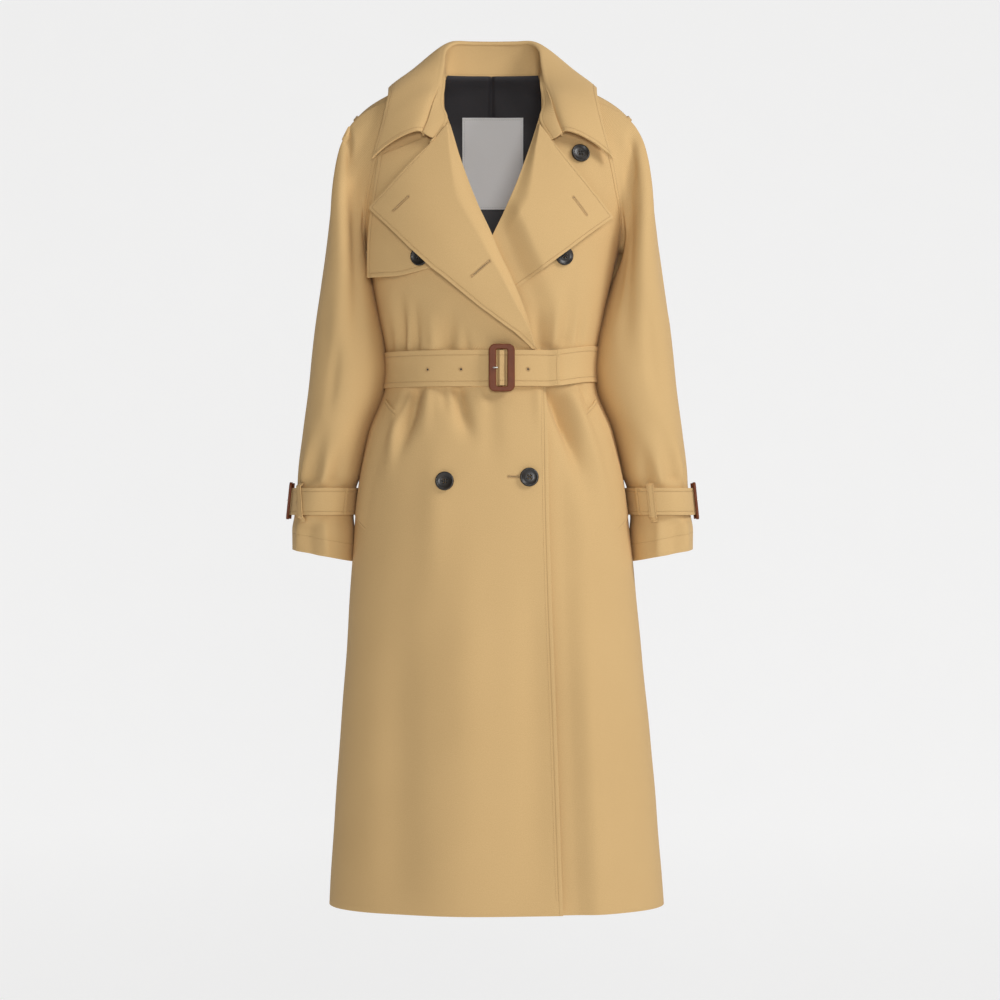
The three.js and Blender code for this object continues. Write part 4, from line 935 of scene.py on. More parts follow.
for name, side, outline, wall in (
    ("lapel_right", -1, lapelRight, firmWall), ("lapel_left", 1, lapelLeft, shellWall)
):
    lapel = layCloth(
        name + "_cloth", placeLapel(side, outline), lapelLook["columns"], lapelLook["rows"], wall,
        stitched={"u1": lapelLook["stitchInset"]},
    )
    flat = lapelLook["flatRight" if side < 0 else "flatLeft"]
    declareCloth(lapel, [name], twill, flat)

flapLook = {"columns": 44, "rows": 70, "flat": (0.11, 0.2, 0.016), "stitchInset": 6.0}


def placeFlap(u, v, lift):
    lowX, highX = blend(-176, -78, u), blend(-160.5, -92, u)
    low = -265 + 11 * softStep((lowX + 140) / 65)
    x = blend(lowX, highX, softStep(v * 0.9 + 0.05) * v)
    wave = 0.5 * np.sin(x / 13 + v * 5) * (1 - v)
    return chestPoint(x, blend(low, blend(-96, -70, u), v), lift + 0.9 + shellWall + wave)


flap = layCloth(
    "storm_flap_cloth", placeFlap, flapLook["columns"], flapLook["rows"], shellWall,
    stitched={"v0": flapLook["stitchInset"], "u0": flapLook["stitchInset"]}
)
declareCloth(flap, ["storm_flap"], twill, flapLook["flat"])

weltLook = {
    "columns": 22, "rows": 60, "flat": (0.05, 0.19, 0.0078), "stitchInset": 4.0,
    "turns": (69, 48, 80, 61), "heights": (-434, -456, -597, -622),
}


def placeWelt(side):
    def place(u, v, lift):
        def read(four):
            topOuter, topInner, lowOuter, lowInner = four
            return blend(blend(lowOuter, topOuter, v), blend(lowInner, topInner, v), u)

        height = blend(0.4 + shellWall, -0.25, softStep((u - 0.35) / 0.6))
        return torsoPoint(
            side * np.radians(read(weltLook["turns"])), read(weltLook["heights"]), lift + height
        )

    return place


for name, side in (("right", -1), ("left", 1)):
    inset = weltLook["stitchInset"]
    welt = layCloth(
        "pocket_welt_" + name + "_cloth", placeWelt(side), weltLook["columns"], weltLook["rows"], shellWall,
        stitched={"v0": inset, "v1": inset},
    )
    declareCloth(
        welt, ["pocket_welt_" + name], twill, weltLook["flat"],
    )
print("collar, lapels, flap and welts laid")

# shoulder straps and their loops, on the top of the sleeve caps
epauletteLook = {
    "column": 10.9, "halfColumns": 1.15, "neck": 0.88, "tip": 0.53, "columns": 20, "rows": 60,
    "flat": (0.058, 0.11, 0.0057), "loopAt": 0.585, "loopHalf": 0.016, "stitchInset": 5.0,
}


def shoulderPoint(name, across, v, lift):
    count = sleeveLook["columns"]
    column = (epauletteLook["column"] + across * epauletteLook["halfColumns"]) / seamStations * count
    here = capPlace[name](column, v)
    step = 0.1
    around = capPlace[name](column + step, v) - capPlace[name](column - step, v)
    along = capPlace[name](column, v + 0.02) - capPlace[name](column, v - 0.02)
    normal = unit(np.cross(around, along))
    return here + normal * np.sign(normal[..., 2:]) * np.asarray(lift)[..., None]


def placeEpaulette(name):
    def place(u, v, lift):
        taper = blend(0.55, 1, np.sqrt(np.clip((1 - v) / 0.12, 0, 1)))
        height = lift + 1.35 + firmWall + 0 * u
        return shoulderPoint(
            name, (u * 2 - 1) * taper, blend(epauletteLook["neck"], epauletteLook["tip"], v), height
        )

    return place


def placeEpauletteLoop(name):
    def place(u, v, lift):
        over = softStep((1.2 - np.abs(u)) / 0.16) * (firmWall + 1.2)
        along = epauletteLook["loopAt"] + (v * 2 - 1) * epauletteLook["loopHalf"]
        return shoulderPoint(name, u, along, lift + 0.9 + 1.6 + over)

    return place


for name in sideOf:
    inset = epauletteLook["stitchInset"]
    strap = layCloth(
        "epaulette_" + name + "_cloth", placeEpaulette(name), epauletteLook["columns"],
        epauletteLook["rows"], firmWall,
        stitched={"u0": inset, "u1": inset, "v1": inset},
    )
    declareCloth(
        strap, ["epaulette_" + name], twill, epauletteLook["flat"],
    )
    loop = layCloth(
        "epaulette_loop_" + name + "_cloth", placeEpauletteLoop(name), 44, 8, 1.5,
        us=[-1.3, -1.2, -1.1, -1.02, -0.5, 0, 0.5, 1.02, 1.1, 1.2, 1.3], stitched={"v0": 1.6, "v1": 1.6},
    )
    declareCloth(
        loop, ["epaulette_loop_" + name], twill, (0.011, 0.064, None),
    )

# belt: starts at its buckle, runs once round, passes over the centre bar and lies on its own start
beltLook = {
    "top": -367, "bottom": -418, "raise": 9, "end": 88, "buckleX": 10.5, "wall": 2.5, "bump": 4.2,
    "ajar": 4.5, "rows": 22,
    "columns": 520, "flat": (0.051, 1.06, None), "stitchInset": 7.0,
}
layGap = 0.9


def strapLift(offset, late, lift, reach):
    over = late * softStep((offset + reach) / (0.6 * reach)) * (beltLook["wall"] + 0.6)
    return lift + over + late * beltLook["bump"] * (1 - softStep((np.abs(offset) - 2.2) / 4.2))


def beltPoint(turn, v, lift):
    x = torsoPoint(turn, beltLook["top"], 0, folded=False)[..., 0]
    behind = np.cos(turn) < 0
    rise = beltLook["raise"] * np.where(behind, softStep((x - 20) / 130), softStep((x - 70) / 75))
    wave = 0.35 * np.sin(turn * 9 + 1) * np.sin(v * math.pi)
    return torsoPoint(turn, blend(beltLook["bottom"], beltLook["top"], v) + rise, lift + wave, folded=False)


def placeBelt(turn, v, lift):
    offset = beltPoint(turn, v, 0)[..., 0] - beltLook["buckleX"]
    late = np.where(turn > 5, 1, 0)
    ajar = late * beltLook["ajar"] * softStep((offset - 60) / 18)
    return beltPoint(turn, v, strapLift(offset, late, lift + layGap + beltLook["wall"], 34) + ajar)


def beltTurn(x):
    return float(turnAt(x, beltLook["top"]))


bends = [
    beltTurn(beltLook["buckleX"] + x) + 2 * math.pi
    for x in (-34, -26, -18, -12, -6.4, -4.4, -2.2, 0, 2.2, 4.4, 6.4, 12, 18, 34, 50, 64)
]
start = beltTurn(beltLook["buckleX"] + 1)
beltTurns = np.concatenate(
    [np.linspace(start, bends[0] - 0.05, 340), np.interp(np.linspace(0, 15, 160), np.arange(16), bends)]
)
beltTurns = np.append(beltTurns, np.linspace(bends[-1], beltTurn(beltLook["end"]) + 2 * math.pi, 21)[1:])
inset = beltLook["stitchInset"]
belt = layCloth(
    "belt_cloth", placeBelt, len(beltTurns) - 1, beltLook["rows"], beltLook["wall"], us=beltTurns,
    stitched={"v0": inset, "v1": inset, "u1": 5},
)
declareCloth(
    belt, ["belt"], twill, beltLook["flat"]
)

# cuff straps and their keepers
cuffLook = {
    "top": -558, "bottom": -596, "buckleTurn": math.radians(177), "mmPerDegree": 1.05, "rows": 16,
    "stitchInset": 5.0,
    "flat": (0.038, 0.48, None),
    "keeperTurn": {"right": 132, "left": 76}, "keeperSlant": {"right": 5, "left": 0},
}


def placeCuffStrap(side):
    def place(turn, v, lift):
        passed = cuffLook["buckleTurn"] - 2 * math.pi - turn
        late = np.where(turn < cuffLook["buckleTurn"] - math.pi, 1, 0)
        raised = strapLift(
            np.degrees(passed) * cuffLook["mmPerDegree"], late, lift + layGap + beltLook["wall"], 26
        )
        return ringPoint(side, turn, blend(cuffLook["bottom"], cuffLook["top"], v), raised)

    return place


def placeKeeper(side, turnAtKeeper, slant):
    def place(u, v, lift):
        over = softStep((26 - np.abs(v)) / 5) * (2 * beltLook["wall"] + 0.7)
        turn = np.radians(turnAtKeeper + (u * 2 - 1) * 5.5 + v / 19 * slant)
        return ringPoint(side, turn, -577 + v, lift + over + 1.8 + 1.4)

    return place


for name, side in sideOf.items():
    turnStart = cuffLook["buckleTurn"]
    bends = [
        math.radians(x / cuffLook["mmPerDegree"]) - 2 * math.pi + turnStart
        for x in (26, 20, 14, 10, 6.4, 4.4, 2.2, 0, -2.2, -4.4, -6.4, -10, -14, -20)
    ]
    turns = np.concatenate([
        np.linspace(turnStart - math.radians(1.5), bends[0] + math.radians(6), 150),
        np.interp(np.linspace(0, 13, 90), np.arange(14), bends),
        np.linspace(bends[-1], turnStart - math.radians(490), 61)[1:],
    ])
    inset = cuffLook["stitchInset"]
    strap = layCloth(
        "cuff_strap_" + name + "_cloth", placeCuffStrap(side), len(turns) - 1, cuffLook["rows"],
        beltLook["wall"], us=turns,
        stitched={"v0": inset, "v1": inset, "u1": 5},
    )
    declareCloth(
        strap, ["cuff_strap_" + name], twill, cuffLook["flat"],
    )
    keeper = layCloth(
        "cuff_keeper_" + name + "_cloth",
        placeKeeper(side, cuffLook["keeperTurn"][name], cuffLook["keeperSlant"][name]), 8, 60, 1.4,
        vs=[-29, -26, -24, -21.5, -10, 0, 10, 21.5, 24, 26], stitched={"u0": 1.7, "u1": 1.7},
    )
    declareCloth(
        keeper, ["cuff_keeper_" + name], twill, (0.0116, 0.066, None),
    )
print("belt and cuff straps laid")

# lining and the bare label at the back of the neck
liningLook = {"columns": 90, "rows": 110, "flat": (0.26, 0.29, None), "pleatHalf": 3.2, "wall": 1.0}


def placeLining(u, z, lift):
    reach = np.minimum(112, np.interp(z, raglanBack["z"], raglanBack["reach"]) - 4)
    pleat = np.exp(-(((u * reach + 2) / liningLook["pleatHalf"]) ** 2)) * softStep((z + 75) / 40)
    sag = 1.2 * np.sin(u * 8 + z / 37) * np.sin(z / 23 + u * 3) * (1 - np.abs(u))
    depth = -shellWall - layGap - 0.6 + 2.2 * pleat + np.minimum(sag, 0.5) * 0.6 - 0.6
    return torsoPoint(
        turnAt(centreX + u * reach, z, False), z, -lift + depth - liningLook["wall"], folded=False
    )


lining = layCloth(
    "lining_cloth", placeLining, liningLook["columns"], liningLook["rows"], liningLook["wall"] * 0.6,
    us=[-1, 1], vs=[-232, 35]
)
declareCloth(
    lining, ["lining"], liningCloth, liningLook["flat"],
)
neckLabel = {
    "width": 89, "height": 133, "top": -19, "columns": 40, "rows": 56, "wall": 0.7,
    "flat": (0.089, 0.133, None)
}


def placeLabel(u, v, lift):
    z = blend(neckLabel["top"] - neckLabel["height"], neckLabel["top"], v)
    x = centreX + (u - 0.5) * neckLabel["width"]
    wave = 0.35 * np.sin(x / 11) * np.sin(z / 17)
    return torsoPoint(turnAt(x, z, False), z, -lift - shellWall - layGap - 3.6 + wave, folded=False)


label = layCloth(
    "neck_label_cloth", placeLabel, neckLabel["columns"], neckLabel["rows"], neckLabel["wall"],
    stitched={"u0": 3, "u1": 3, "v0": 3, "v1": 3},
)
declareCloth(label, ["neck_label"], labelCloth, neckLabel["flat"])
print("lining and label laid")


# hard pieces
def standOn(centre, across, up, normal):
    return Matrix(
        [[across[i] * mm, up[i] * mm, normal[i] * mm, centre[i] * mm] for i in range(3)] + [[0, 0, 0, 1]]
    )


def newVerts(made):
    return [item for item in made["geom"] if isinstance(item, bmesh.types.BMVert)]


def placeMesh(bm, low, high, ahead, behind):
    # turns a mesh modelled in millimetres on its back onto the cloth: x across, y up, z outwards
    up, across = unit(high - low), unit(ahead - behind)
    normal = unit(np.cross(across, up))
    bm.transform(standOn((low + high) / 2, across, np.cross(normal, across), normal))


def bevelEdges(bm, edges, width, segments):
    bmesh.ops.bevel(
        bm, geom=list(edges), offset=width, segments=segments, affect="EDGES", profile=0.5,
        material=-1, clamp_overlap=True
    )


def uprights(bm, look):
    return [
        edge for edge in bm.edges if abs(edge.verts[0].co.z - edge.verts[1].co.z) > 0.5 * look["thickness"]
    ]


def buckleMesh(look):
    # a ring inset from a plate, thickened, its corners rounded and its bars crowned
    bm = bmesh.new()
    bmesh.ops.create_grid(bm, x_segments=1, y_segments=1, size=0.5)
    bmesh.ops.scale(bm, verts=bm.verts, vec=(look["width"], look["height"], 1))
    bmesh.ops.inset_region(
        bm, faces=bm.faces[:], thickness=look["rail"], use_even_offset=True, use_boundary=True
    )
    window = min(bm.faces, key=lambda face: face.calc_center_median().length)
    for vert in window.verts:
        vert.co.x = math.copysign(look["width"] / 2 - look["sideBar"], vert.co.x)
    bmesh.ops.delete(bm, geom=[window], context="FACES_ONLY")
    ring = bmesh.ops.extrude_face_region(bm, geom=bm.faces[:])
    bmesh.ops.translate(bm, verts=newVerts(ring), vec=(0, 0, look["thickness"]))
    bmesh.ops.recalc_face_normals(bm, faces=bm.faces)
    halfWidth = look["width"] / 2
    outside = [edge for edge in uprights(bm, look) if abs(edge.verts[0].co.x) > halfWidth - 0.1]
    bevelEdges(bm, outside, look["outerRound"], 8)
    corners = [edge for edge in uprights(bm, look) if edge.is_manifold and edge.calc_face_angle(0) > 0.6]
    inside = [edge for edge in corners if abs(edge.verts[0].co.x) < halfWidth - 4]
    bevelEdges(bm, inside, look["innerRound"], 5)
    rims = [edge for edge in bm.edges if edge.is_manifold and edge.calc_face_angle(0) > 1.2]
    bevelEdges(bm, rims, look["crown"], 6)
    bmesh.ops.translate(bm, verts=bm.verts, vec=(0, 0, look["back"]))
    bar = bmesh.ops.create_cone(
        bm, cap_ends=True, segments=14, radius1=1.5, radius2=1.5, depth=look["height"] - 2
    )
    bmesh.ops.rotate(bm, verts=bar["verts"], matrix=Matrix.Rotation(math.pi / 2, 3, "X"))
    bmesh.ops.translate(bm, verts=bar["verts"], vec=(0, 0, 5.5))
    for end in (-1, 1):
        post = bmesh.ops.create_cone(
            bm, cap_ends=True, segments=14, radius1=1.6, radius2=1.6, depth=look["back"] - 2.5
        )
        bmesh.ops.translate(
            bm, verts=post["verts"],
            vec=(0, end * (look["height"] - look["rail"]) / 2, (look["back"] + 5) / 2 + 0.6)
        )
    return bm


beltBuckle = {
    "width": 36, "height": 66, "sideBar": 10.2, "rail": 7, "thickness": 5.3, "back": 7.2, "outerRound": 9,
    "innerRound": 2.5, "crown": 2.55
}
cuffBuckle = {
    "width": 27, "height": 53, "sideBar": 6.2, "rail": 5.4, "thickness": 4, "back": 7.2, "outerRound": 6,
    "innerRound": 2, "crown": 1.9
}


def prongMesh(look, prongSide):
    # a tapered pin, its tip resting on the side bar
    bm = bmesh.new()
    inner, outer = look["width"] / 2 - look["sideBar"] - 2.5, look["width"] / 2 - 0.55 * look["sideBar"]
    bmesh.ops.create_cone(bm, cap_ends=True, segments=14, radius1=1.15, radius2=0.8, depth=outer - inner)
    bmesh.ops.rotate(bm, verts=bm.verts, matrix=Matrix.Rotation(prongSide * math.pi / 2, 3, "Y"))
    tips = [edge for edge in bm.edges if max(len(face.verts) for face in edge.link_faces) > 4]
    bevelEdges(bm, tips, 0.35, 3)
    bmesh.ops.translate(
        bm, verts=bm.verts, vec=(prongSide * (inner + outer) / 2, 0, look["back"] + look["thickness"] + 1.1)
    )
    return bm


def onBelt(offset, v):
    return beltPoint(np.array(beltTurn(beltLook["buckleX"] + offset)), v, 0)


def onCuff(side):
    def place(offset, v):
        turn = cuffLook["buckleTurn"] + side * math.radians(offset / cuffLook["mmPerDegree"])
        return ringPoint(side, turn, blend(cuffLook["bottom"], cuffLook["top"], v), 0)

    return place


for buckleNode, prongNode, look, place, prongSide in (
    ("belt_buckle", "belt_prong", beltBuckle, onBelt, -1),
    ("cuff_buckle_right", "cuff_prong_right", cuffBuckle, onCuff(-1), -1),
    ("cuff_buckle_left", "cuff_prong_left", cuffBuckle, onCuff(1), 1),
):
    corners = place(0, 0.0), place(0, 1.0), place(6, 0.5), place(-6, 0.5)
    bm = buckleMesh(look)
    placeMesh(bm, *corners)
    declarePart(finishMesh(buckleNode + "_leather", bm), leather, [buckleNode])
    bm = prongMesh(look, prongSide)
    placeMesh(bm, *corners)
    declarePart(finishMesh(prongNode + "_pin", bm), steel, [prongNode])
print("buckles set")

buttonLook = {
    "holeRadius": 1.15, "holeOut": 2.3, "drill": 14, "threadRise": 3.3, "threadRadius": 0.42,
    "threadShift": 0.35,
    "profile": [
        (0.01, 0), (11.6, 0), (12.6, 0.5), (13, 1.5), (13, 3.1), (12.6, 4.0), (11.8, 4.4), (10.8, 4.3),
        (10.1, 3.7), (9.6, 3.3), (5, 3.1), (0.01, 3.05)
    ],
}
buttonPlaces = [
    ("button_collar", 120, -93, 0.3, False), ("button_chest_right", -101, -238.5, 4, True),
    ("button_chest_left", 97, -237, 0.4, False), ("button_skirt_right", -67, -549, 0.3, False),
    ("button_skirt_left", 48.5, -543.5, 0.3, False),
]


def buttonMesh():
    bm = bmesh.new()
    profile = [bm.verts.new((r, 0, h)) for r, h in buttonLook["profile"]]
    edges = [bm.edges.new(pair) for pair in zip(profile, profile[1:])]
    bmesh.ops.spin(
        bm, geom=profile + edges, cent=(0, 0, 0), axis=(0, 0, 1), angle=2 * math.pi, steps=48,
        use_merge=True
    )
    bmesh.ops.remove_doubles(bm, verts=bm.verts, dist=0.03)
    bmesh.ops.recalc_face_normals(bm, faces=bm.faces)
    return bm


def drillMesh():
    bm = bmesh.new()
    radius, out = buttonLook["holeRadius"], buttonLook["holeOut"]
    for quarter in range(4):
        hole = bmesh.ops.create_cone(
            bm, cap_ends=True, segments=16, radius1=radius, radius2=radius, depth=buttonLook["drill"]
        )
        turn = math.pi / 4 + quarter * math.pi / 2
        bmesh.ops.translate(bm, verts=hole["verts"], vec=(out * math.cos(turn), out * math.sin(turn), 0))
    return bm


def drilled(name, bm, drill):
    button = finishMesh(name, bm)
    bits = finishMesh(name + "_drill", drill)
    cut = button.modifiers.new("holes", "BOOLEAN")
    cut.operation = "DIFFERENCE"
    cut.object = bits
    mesh = bpy.data.meshes.new_from_object(button.evaluated_get(bpy.context.evaluated_depsgraph_get()))
    button.modifiers.clear()
    button.data = mesh
    bpy.data.objects.remove(bits)
    return button


def crossThread(bm, x, out):
    # one thread of the sewing that crosses a button between two of its holes
    path = Vector((0, 2 * out, 0))
    turn = path.to_track_quat("Z", "Y").to_matrix().to_4x4()
    turn.translation = Vector((x, 0, buttonLook["threadRise"]))
    radius = buttonLook["threadRadius"]
    stretch = Matrix.Diagonal((radius, radius, path.length * 0.58, 1))
    bmesh.ops.create_uvsphere(bm, u_segments=8, v_segments=6, radius=1, matrix=turn @ stretch)


for name, x, z, lift, onChest in buttonPlaces:
    turn = turnAt(x, z)
    centre = chestPoint(x, z, lift) if onChest else torsoPoint(turn, z, lift)
    normal = torsoNormal(turn, z)
    across = unit(np.cross((0, 0, 1), normal))
    stand = standOn(centre, across, np.cross(normal, across), normal)
    bm, drill = buttonMesh(), drillMesh()
    bm.transform(stand)
    drill.transform(stand)
    declarePart(drilled(name + "_horn", bm, drill), horn, [name])
    bm = bmesh.new()
    out = buttonLook["holeOut"] * math.sqrt(0.5)
    for side in (-1, 1):
        for shift in (-1, 1):
            crossThread(bm, side * out + shift * buttonLook["threadShift"], out)
    bm.transform(stand)
    declarePart(finishMesh(name + "_sewing", bm), blackThreadAndHoleShade)
print("buttons sewn on")

# sewing thread: every stitch is a small spindle laid along a seam
stitchLook = {"pitch": 3.3, "length": 2.5, "radius": 0.32, "rise": 0.12}


def seamLine(name, edge, inset, ends=(0, 0)):
    # a line on a piece of cloth that keeps its distance from one edge
    grid = pieces[name]
    points, normals, reach = grid["points"], grid["normals"], grid["alongV"]
    if edge[0] == "u":
        points, normals, reach = points.transpose(1, 0, 2), normals.transpose(1, 0, 2), grid["alongU"].T
    if edge[1] == "1":
        points, normals, reach = points[::-1], normals[::-1], (reach[-1:] - reach)[::-1]
    line, ways = [], []
    for column in range(points.shape[1]):
        at = np.interp(inset, reach[:, column], np.arange(len(reach)))
        low = min(int(at), len(reach) - 2)
        line.append(blend(points[low, column], points[low + 1, column], at - low))
        ways.append(blend(normals[low, column], normals[low + 1, column], at - low))
    line, ways = np.array(line), np.array(ways)
    length = runningLength(line, 0)
    return line, ways, length, (ends[0], length[-1] - ends[1])


def spindle(bm, centre, along, normal, length, radius, segments=6):
    side = np.cross(normal, along)
    turn = Matrix([[side[i], normal[i], along[i], centre[i]] for i in range(3)] + [[0, 0, 0, 1]])
    bmesh.ops.create_uvsphere(
        bm, u_segments=segments, v_segments=4, radius=1, matrix=turn @ Matrix.Diagonal(
            (radius, radius, length / 2, 1)
        )
    )


def join(bm, part):
    mesh = bpy.data.meshes.new("part")
    part.to_mesh(mesh)
    part.free()
    bm.from_mesh(mesh)
    bpy.data.meshes.remove(mesh)


def sewRun(bm, run):
    line, ways, length, (start, end) = run
    look = stitchLook
    part = bmesh.new()
    spots = np.arange(start + look["length"] / 2, end - look["length"] / 2, look["pitch"])
    for i, spot in enumerate(spots):
        centre = readLine(spot, length, line)
        normal = unit(readLine(spot, length, ways))
        along = unit(readLine(spot + 1, length, line) - readLine(spot - 1, length, line))
        normal = unit(normal - along * np.dot(normal, along))
        skew = 0.06 * math.sin(i * 2.3)
        along = unit(along + np.cross(normal, along) * skew)
        spindle(part, centre + normal * look["rise"], along, normal, look["length"], look["radius"])
    join(bm, part)


def sew(name, *rows, thread=tanThread, slot="twill"):
    # a row has the inset from the edges and, for each edge, how far the stitches stop short of its two ends
    bm = bmesh.new()
    for inset, edges in rows:
        for edge, ends in edges.items():
            sewRun(bm, seamLine(name + "_cloth", edge, inset, ends))
    bm.transform(Matrix.Scale(mm, 4))
    declarePart(finishMesh(name + "_stitches", bm), thread)


frontInset, secondInset = bodyPanels["front_right"]["stitchInset"]
beltEnds, strapEnds, loopEnds = (4, 5), (2, 6), (3, 3)
sew("front_right", (frontInset, {"u1": (20, 250)}), (secondInset, {"u1": (20, 250)}))
sew("lapel_right", (lapelLook["stitchInset"], {"u1": (4, 4)}))
sew("lapel_left", (lapelLook["stitchInset"], {"u1": (4, 4)}))
sew("collar_fall", (collarLook["stitchInset"], {"v1": (6, 6), "u0": (4, 6), "u1": (4, 6)}))
sew("storm_flap", (flapLook["stitchInset"], {"v0": (6, 4), "u0": (6, 2)}))
sew("belt", (beltLook["stitchInset"], {"v0": beltEnds, "v1": beltEnds}), (5.0, {"u1": (7, 7)}))
for name in sideOf:
    sew("sleeve_" + name, (5.0, {"v1": (0, 0)}))
    sew("pocket_welt_" + name, (weltLook["stitchInset"], {"v0": (3, 1), "v1": (3, 1)}))
    sew(
        "epaulette_" + name,
        (epauletteLook["stitchInset"], {"u0": strapEnds, "u1": strapEnds, "v1": (6, 6)})
    )
    sew("epaulette_loop_" + name, (1.6, {"v0": loopEnds, "v1": loopEnds}))
    sew("cuff_strap_" + name, (cuffLook["stitchInset"], {"v0": beltEnds, "v1": beltEnds, "u1": (5, 5)}))
    sew("cuff_keeper_" + name, (1.7, {"u0": loopEnds, "u1": loopEnds}))
labelEdges = {edge: (3, 3) for edge in ("u0", "u1", "v0", "v1")}
sew("neck_label", (3.0, labelEdges), thread=whiteThread, slot="label")
print("seams stitched")

# worked buttonholes and eyelets
holeLook = {
    "pitch": 0.62, "length": 2.1, "radius": 0.3, "aside": 1.25, "eye": 1.7, "slit": 0.55, "rise": 0.2
}
buttonholes = [
    ("lapel_right", (-118.3, -156), (-139, -175)), ("chest", (-6, -246.7), (-30, -267.5)),
    ("lapel_left", (110.6, -157), (128.6, -180.7)), ("skirt", (20.9, -542.7), (37.4, -543.4)),
]


def nearestOn(name, x, z):
    grid = pieces[name]
    away = (grid["points"][..., 0] - x) ** 2 + (grid["points"][..., 2] - z) ** 2 + 1e4 * (
        grid["normals"][..., 1] > 0
    )
    row, column = np.unravel_index(np.argmin(away), away.shape)
    rows, columns = away.shape
    low, left = min(max(row, 1), rows - 2), min(max(column, 1), columns - 2)
    point, normal = grid["points"][low, left], grid["normals"][low, left]
    shift = (normal[0] * (x - point[0]) + normal[2] * (z - point[2])) / -normal[1]
    return np.array([x, point[1] + shift, z]), unit(normal)


def workHole(thread, dark, on, a, b):
    place = {"chest": "lapel_right_cloth", "skirt": "front_right_cloth"}.get(on, on + "_cloth")
    shares = np.linspace(0, 1, 9)
    spots = [nearestOn(place, *blend(np.array(a, float), np.array(b, float), share)) for share in shares]
    line, ways = (np.array(part) for part in zip(*spots))
    along = unit(line[-1] - line[0])
    length = float(np.linalg.norm(line[-1] - line[0]))
    part = bmesh.new()
    for spot in np.arange(0, length, holeLook["pitch"]):
        centre = readLine(spot / length, shares, line)
        normal = unit(readLine(spot / length, shares, ways))
        side = unit(np.cross(normal, along))
        for sign in (-1, 1):
            leaning = unit(side + along * 0.08 * sign)
            aside = centre + side * sign * holeLook["aside"]
            spindle(
                part, aside + normal * holeLook["rise"], leaning, normal, holeLook["length"],
                holeLook["radius"]
            )
    normal, side = ways[0], unit(np.cross(ways[0], along))
    for turn in np.radians(np.arange(60, 301, 20)):
        out = along * math.cos(turn) + side * math.sin(turn)
        ringed = line[0] + out * holeLook["eye"]
        spindle(
            part, ringed + normal * holeLook["rise"], unit(out), normal, holeLook["length"],
            holeLook["radius"]
        )
    for end in (line[-1] + along * 0.6, line[-1] + along * 1.1):
        spindle(part, end + ways[-1] * 0.25, unit(np.cross(ways[-1], along)), ways[-1], 4.6, 0.36)
    join(thread, part)
    # a dark spindle along the slit and a dark dot at its round eye: painted shade in the opening
    part = bmesh.new()
    spindle(
        part, blend(line[0], line[-1], 0.5) + ways[4] * 0.05, along, ways[4], length - 1,
        holeLook["slit"] * 0.5, 8
    )
    spindle(part, line[0] + ways[0] * 0.05, unit(np.cross(ways[0], along)), ways[0], 1.5, 0.5, 8)
    join(dark, part)


def declareHoles(threadName, thread, darkName, dark):
    thread.transform(Matrix.Scale(mm, 4))
    dark.transform(Matrix.Scale(mm, 4))
    declarePart(finishMesh(threadName, thread), tanThread)
    declarePart(finishMesh(darkName, dark), blackThreadAndHoleShade)


thread, dark = bmesh.new(), bmesh.new()
for on, a, b in buttonholes:
    workHole(thread, dark, on, a, b)
declareHoles("buttonhole_stitches", thread, "buttonhole_slit_shade", dark)

eyeletLook = {"stitches": 18, "radius": 2.5, "length": 2.2, "thread": 0.33, "hole": 1.35}
eyelets = [
    ("belt_cloth", -92, -394), ("belt_cloth", -45.6, -394), ("belt_cloth", 47.3, -394),
    ("cuff_strap_right_cloth", -277, -578), ("cuff_strap_right_cloth", -261, -578),
    ("cuff_strap_left_cloth", 258, -580), ("cuff_strap_left_cloth", 274, -579),
]
thread, dark = bmesh.new(), bmesh.new()
for name, x, z in eyelets:
    centre, normal = nearestOn(name, x, z)
    across = unit(np.cross((0, 0, 1), normal))
    up = np.cross(normal, across)
    part = bmesh.new()
    for turn in np.linspace(0, 2 * math.pi, eyeletLook["stitches"], endpoint=False):
        out = across * math.cos(turn) + up * math.sin(turn)
        spindle(
            part, centre + out * eyeletLook["radius"] + normal * 0.15, out, normal, eyeletLook["length"],
            eyeletLook["thread"]
        )
    join(thread, part)
    # a flat dark disc in the middle: painted shade in the hole
    part = bmesh.new()
    spindle(part, centre, normal, up, 0.7, eyeletLook["hole"], 14)
    join(dark, part)
declareHoles("eyelet_stitches", thread, "eyelet_hole_shade", dark)
print("buttonholes and eyelets worked")

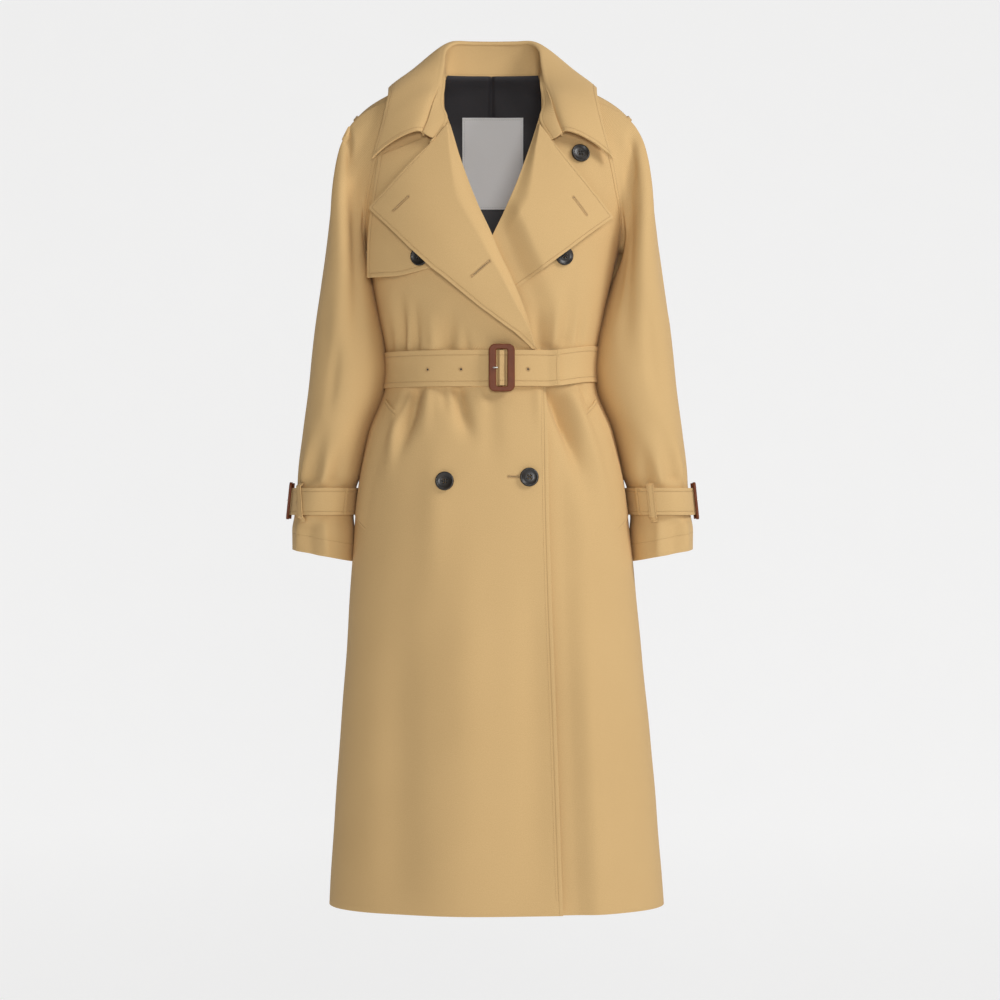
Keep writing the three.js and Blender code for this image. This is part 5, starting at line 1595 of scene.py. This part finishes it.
# the studio: a pale floor that curves up behind the coat, soft lights and the photo's camera
studio = {
    "floorHeight": -2.6, "halfWidth": 10.0, "front": -12.0, "back": 6.5, "wall": 9.0, "curve": 0.8,
    "tone": srgb(150, 150, 150), "glow": 0.7, "world": 0.1,
    "lights": [
        ("key", (3.6, -1.9, 2.2), 1.9, 123.0), (
            "front", (0.4, -5.2, 0.2), 1.4, 92.0
        ), ("top", (0.3, -1.2, 3.6), 2.0, 24.0),
    ],
    "target": (0.0, 0.0, -0.55),
}
bm = bmesh.new()
bmesh.ops.create_grid(bm, x_segments=1, y_segments=1, size=0.5)
depth = studio["back"] - studio["front"]
bmesh.ops.scale(bm, verts=bm.verts, vec=(2 * studio["halfWidth"], depth, 1))
bmesh.ops.translate(bm, verts=bm.verts, vec=(0, studio["front"] + depth / 2, studio["floorHeight"]))
rear = [edge for edge in bm.edges if all(vert.co.y > studio["back"] - 0.01 for vert in edge.verts)]
raised = bmesh.ops.extrude_edge_only(bm, edges=rear)
bmesh.ops.translate(bm, verts=newVerts(raised), vec=(0, 0, studio["wall"]))
bevelEdges(bm, rear, studio["curve"], 16)
floor = finishMesh("studio_sweep", bm)
paper, tree, shader = newMaterial(
    "studio paper", 0.9, Emission_Color=(1, 1, 1, 1), Emission_Strength=studio["glow"]
)
place = addNode(tree, "TexCoord").outputs["Object"]
grain = addNode(tree, "TexNoise", Vector=place, Scale=9.0, Detail=2.0).outputs["Fac"]
tree.links.new(mixColour(tree, grain, studio["tone"], srgb(146, 146, 146)), shader.inputs["Base Color"])
floor.data.materials.append(paper)

world = bpy.data.worlds.new("studio light")
bpy.context.scene.world = world
world.use_nodes = True
world.node_tree.nodes["Background"].inputs["Color"].default_value = (1, 0.93, 0.84, 1)
world.node_tree.nodes["Background"].inputs["Strength"].default_value = studio["world"]
for name, spot, size, power in studio["lights"]:
    lamp = bpy.data.lights.new(name, "AREA")
    lamp.shape = "DISK"
    lamp.size = size
    lamp.energy = power
    light = bpy.data.objects.new(name, lamp)
    light.location = spot
    light.rotation_euler = (Vector(studio["target"]) - Vector(spot)).to_track_quat("-Z", "Y").to_euler()
    bpy.context.collection.objects.link(light)

# the photo shows 1.42 m across at the coat's middle, seen level from 4 m in front of it
photoView = {"across": 1.42, "distance": 4.0, "x": 0.0085, "z": -0.575, "sensor": 36}
lens = bpy.data.cameras.new("photo camera")
lens.sensor_width = photoView["sensor"]
lens.lens = photoView["sensor"] * photoView["distance"] / photoView["across"]
camera = bpy.data.objects.new("photo camera", lens)
camera.location = (photoView["x"], -photoView["distance"], photoView["z"])
camera.rotation_euler = (math.pi / 2, 0, 0)
bpy.context.collection.objects.link(camera)
bpy.context.scene.camera = camera
bpy.context.scene.view_settings.view_transform = "Standard"
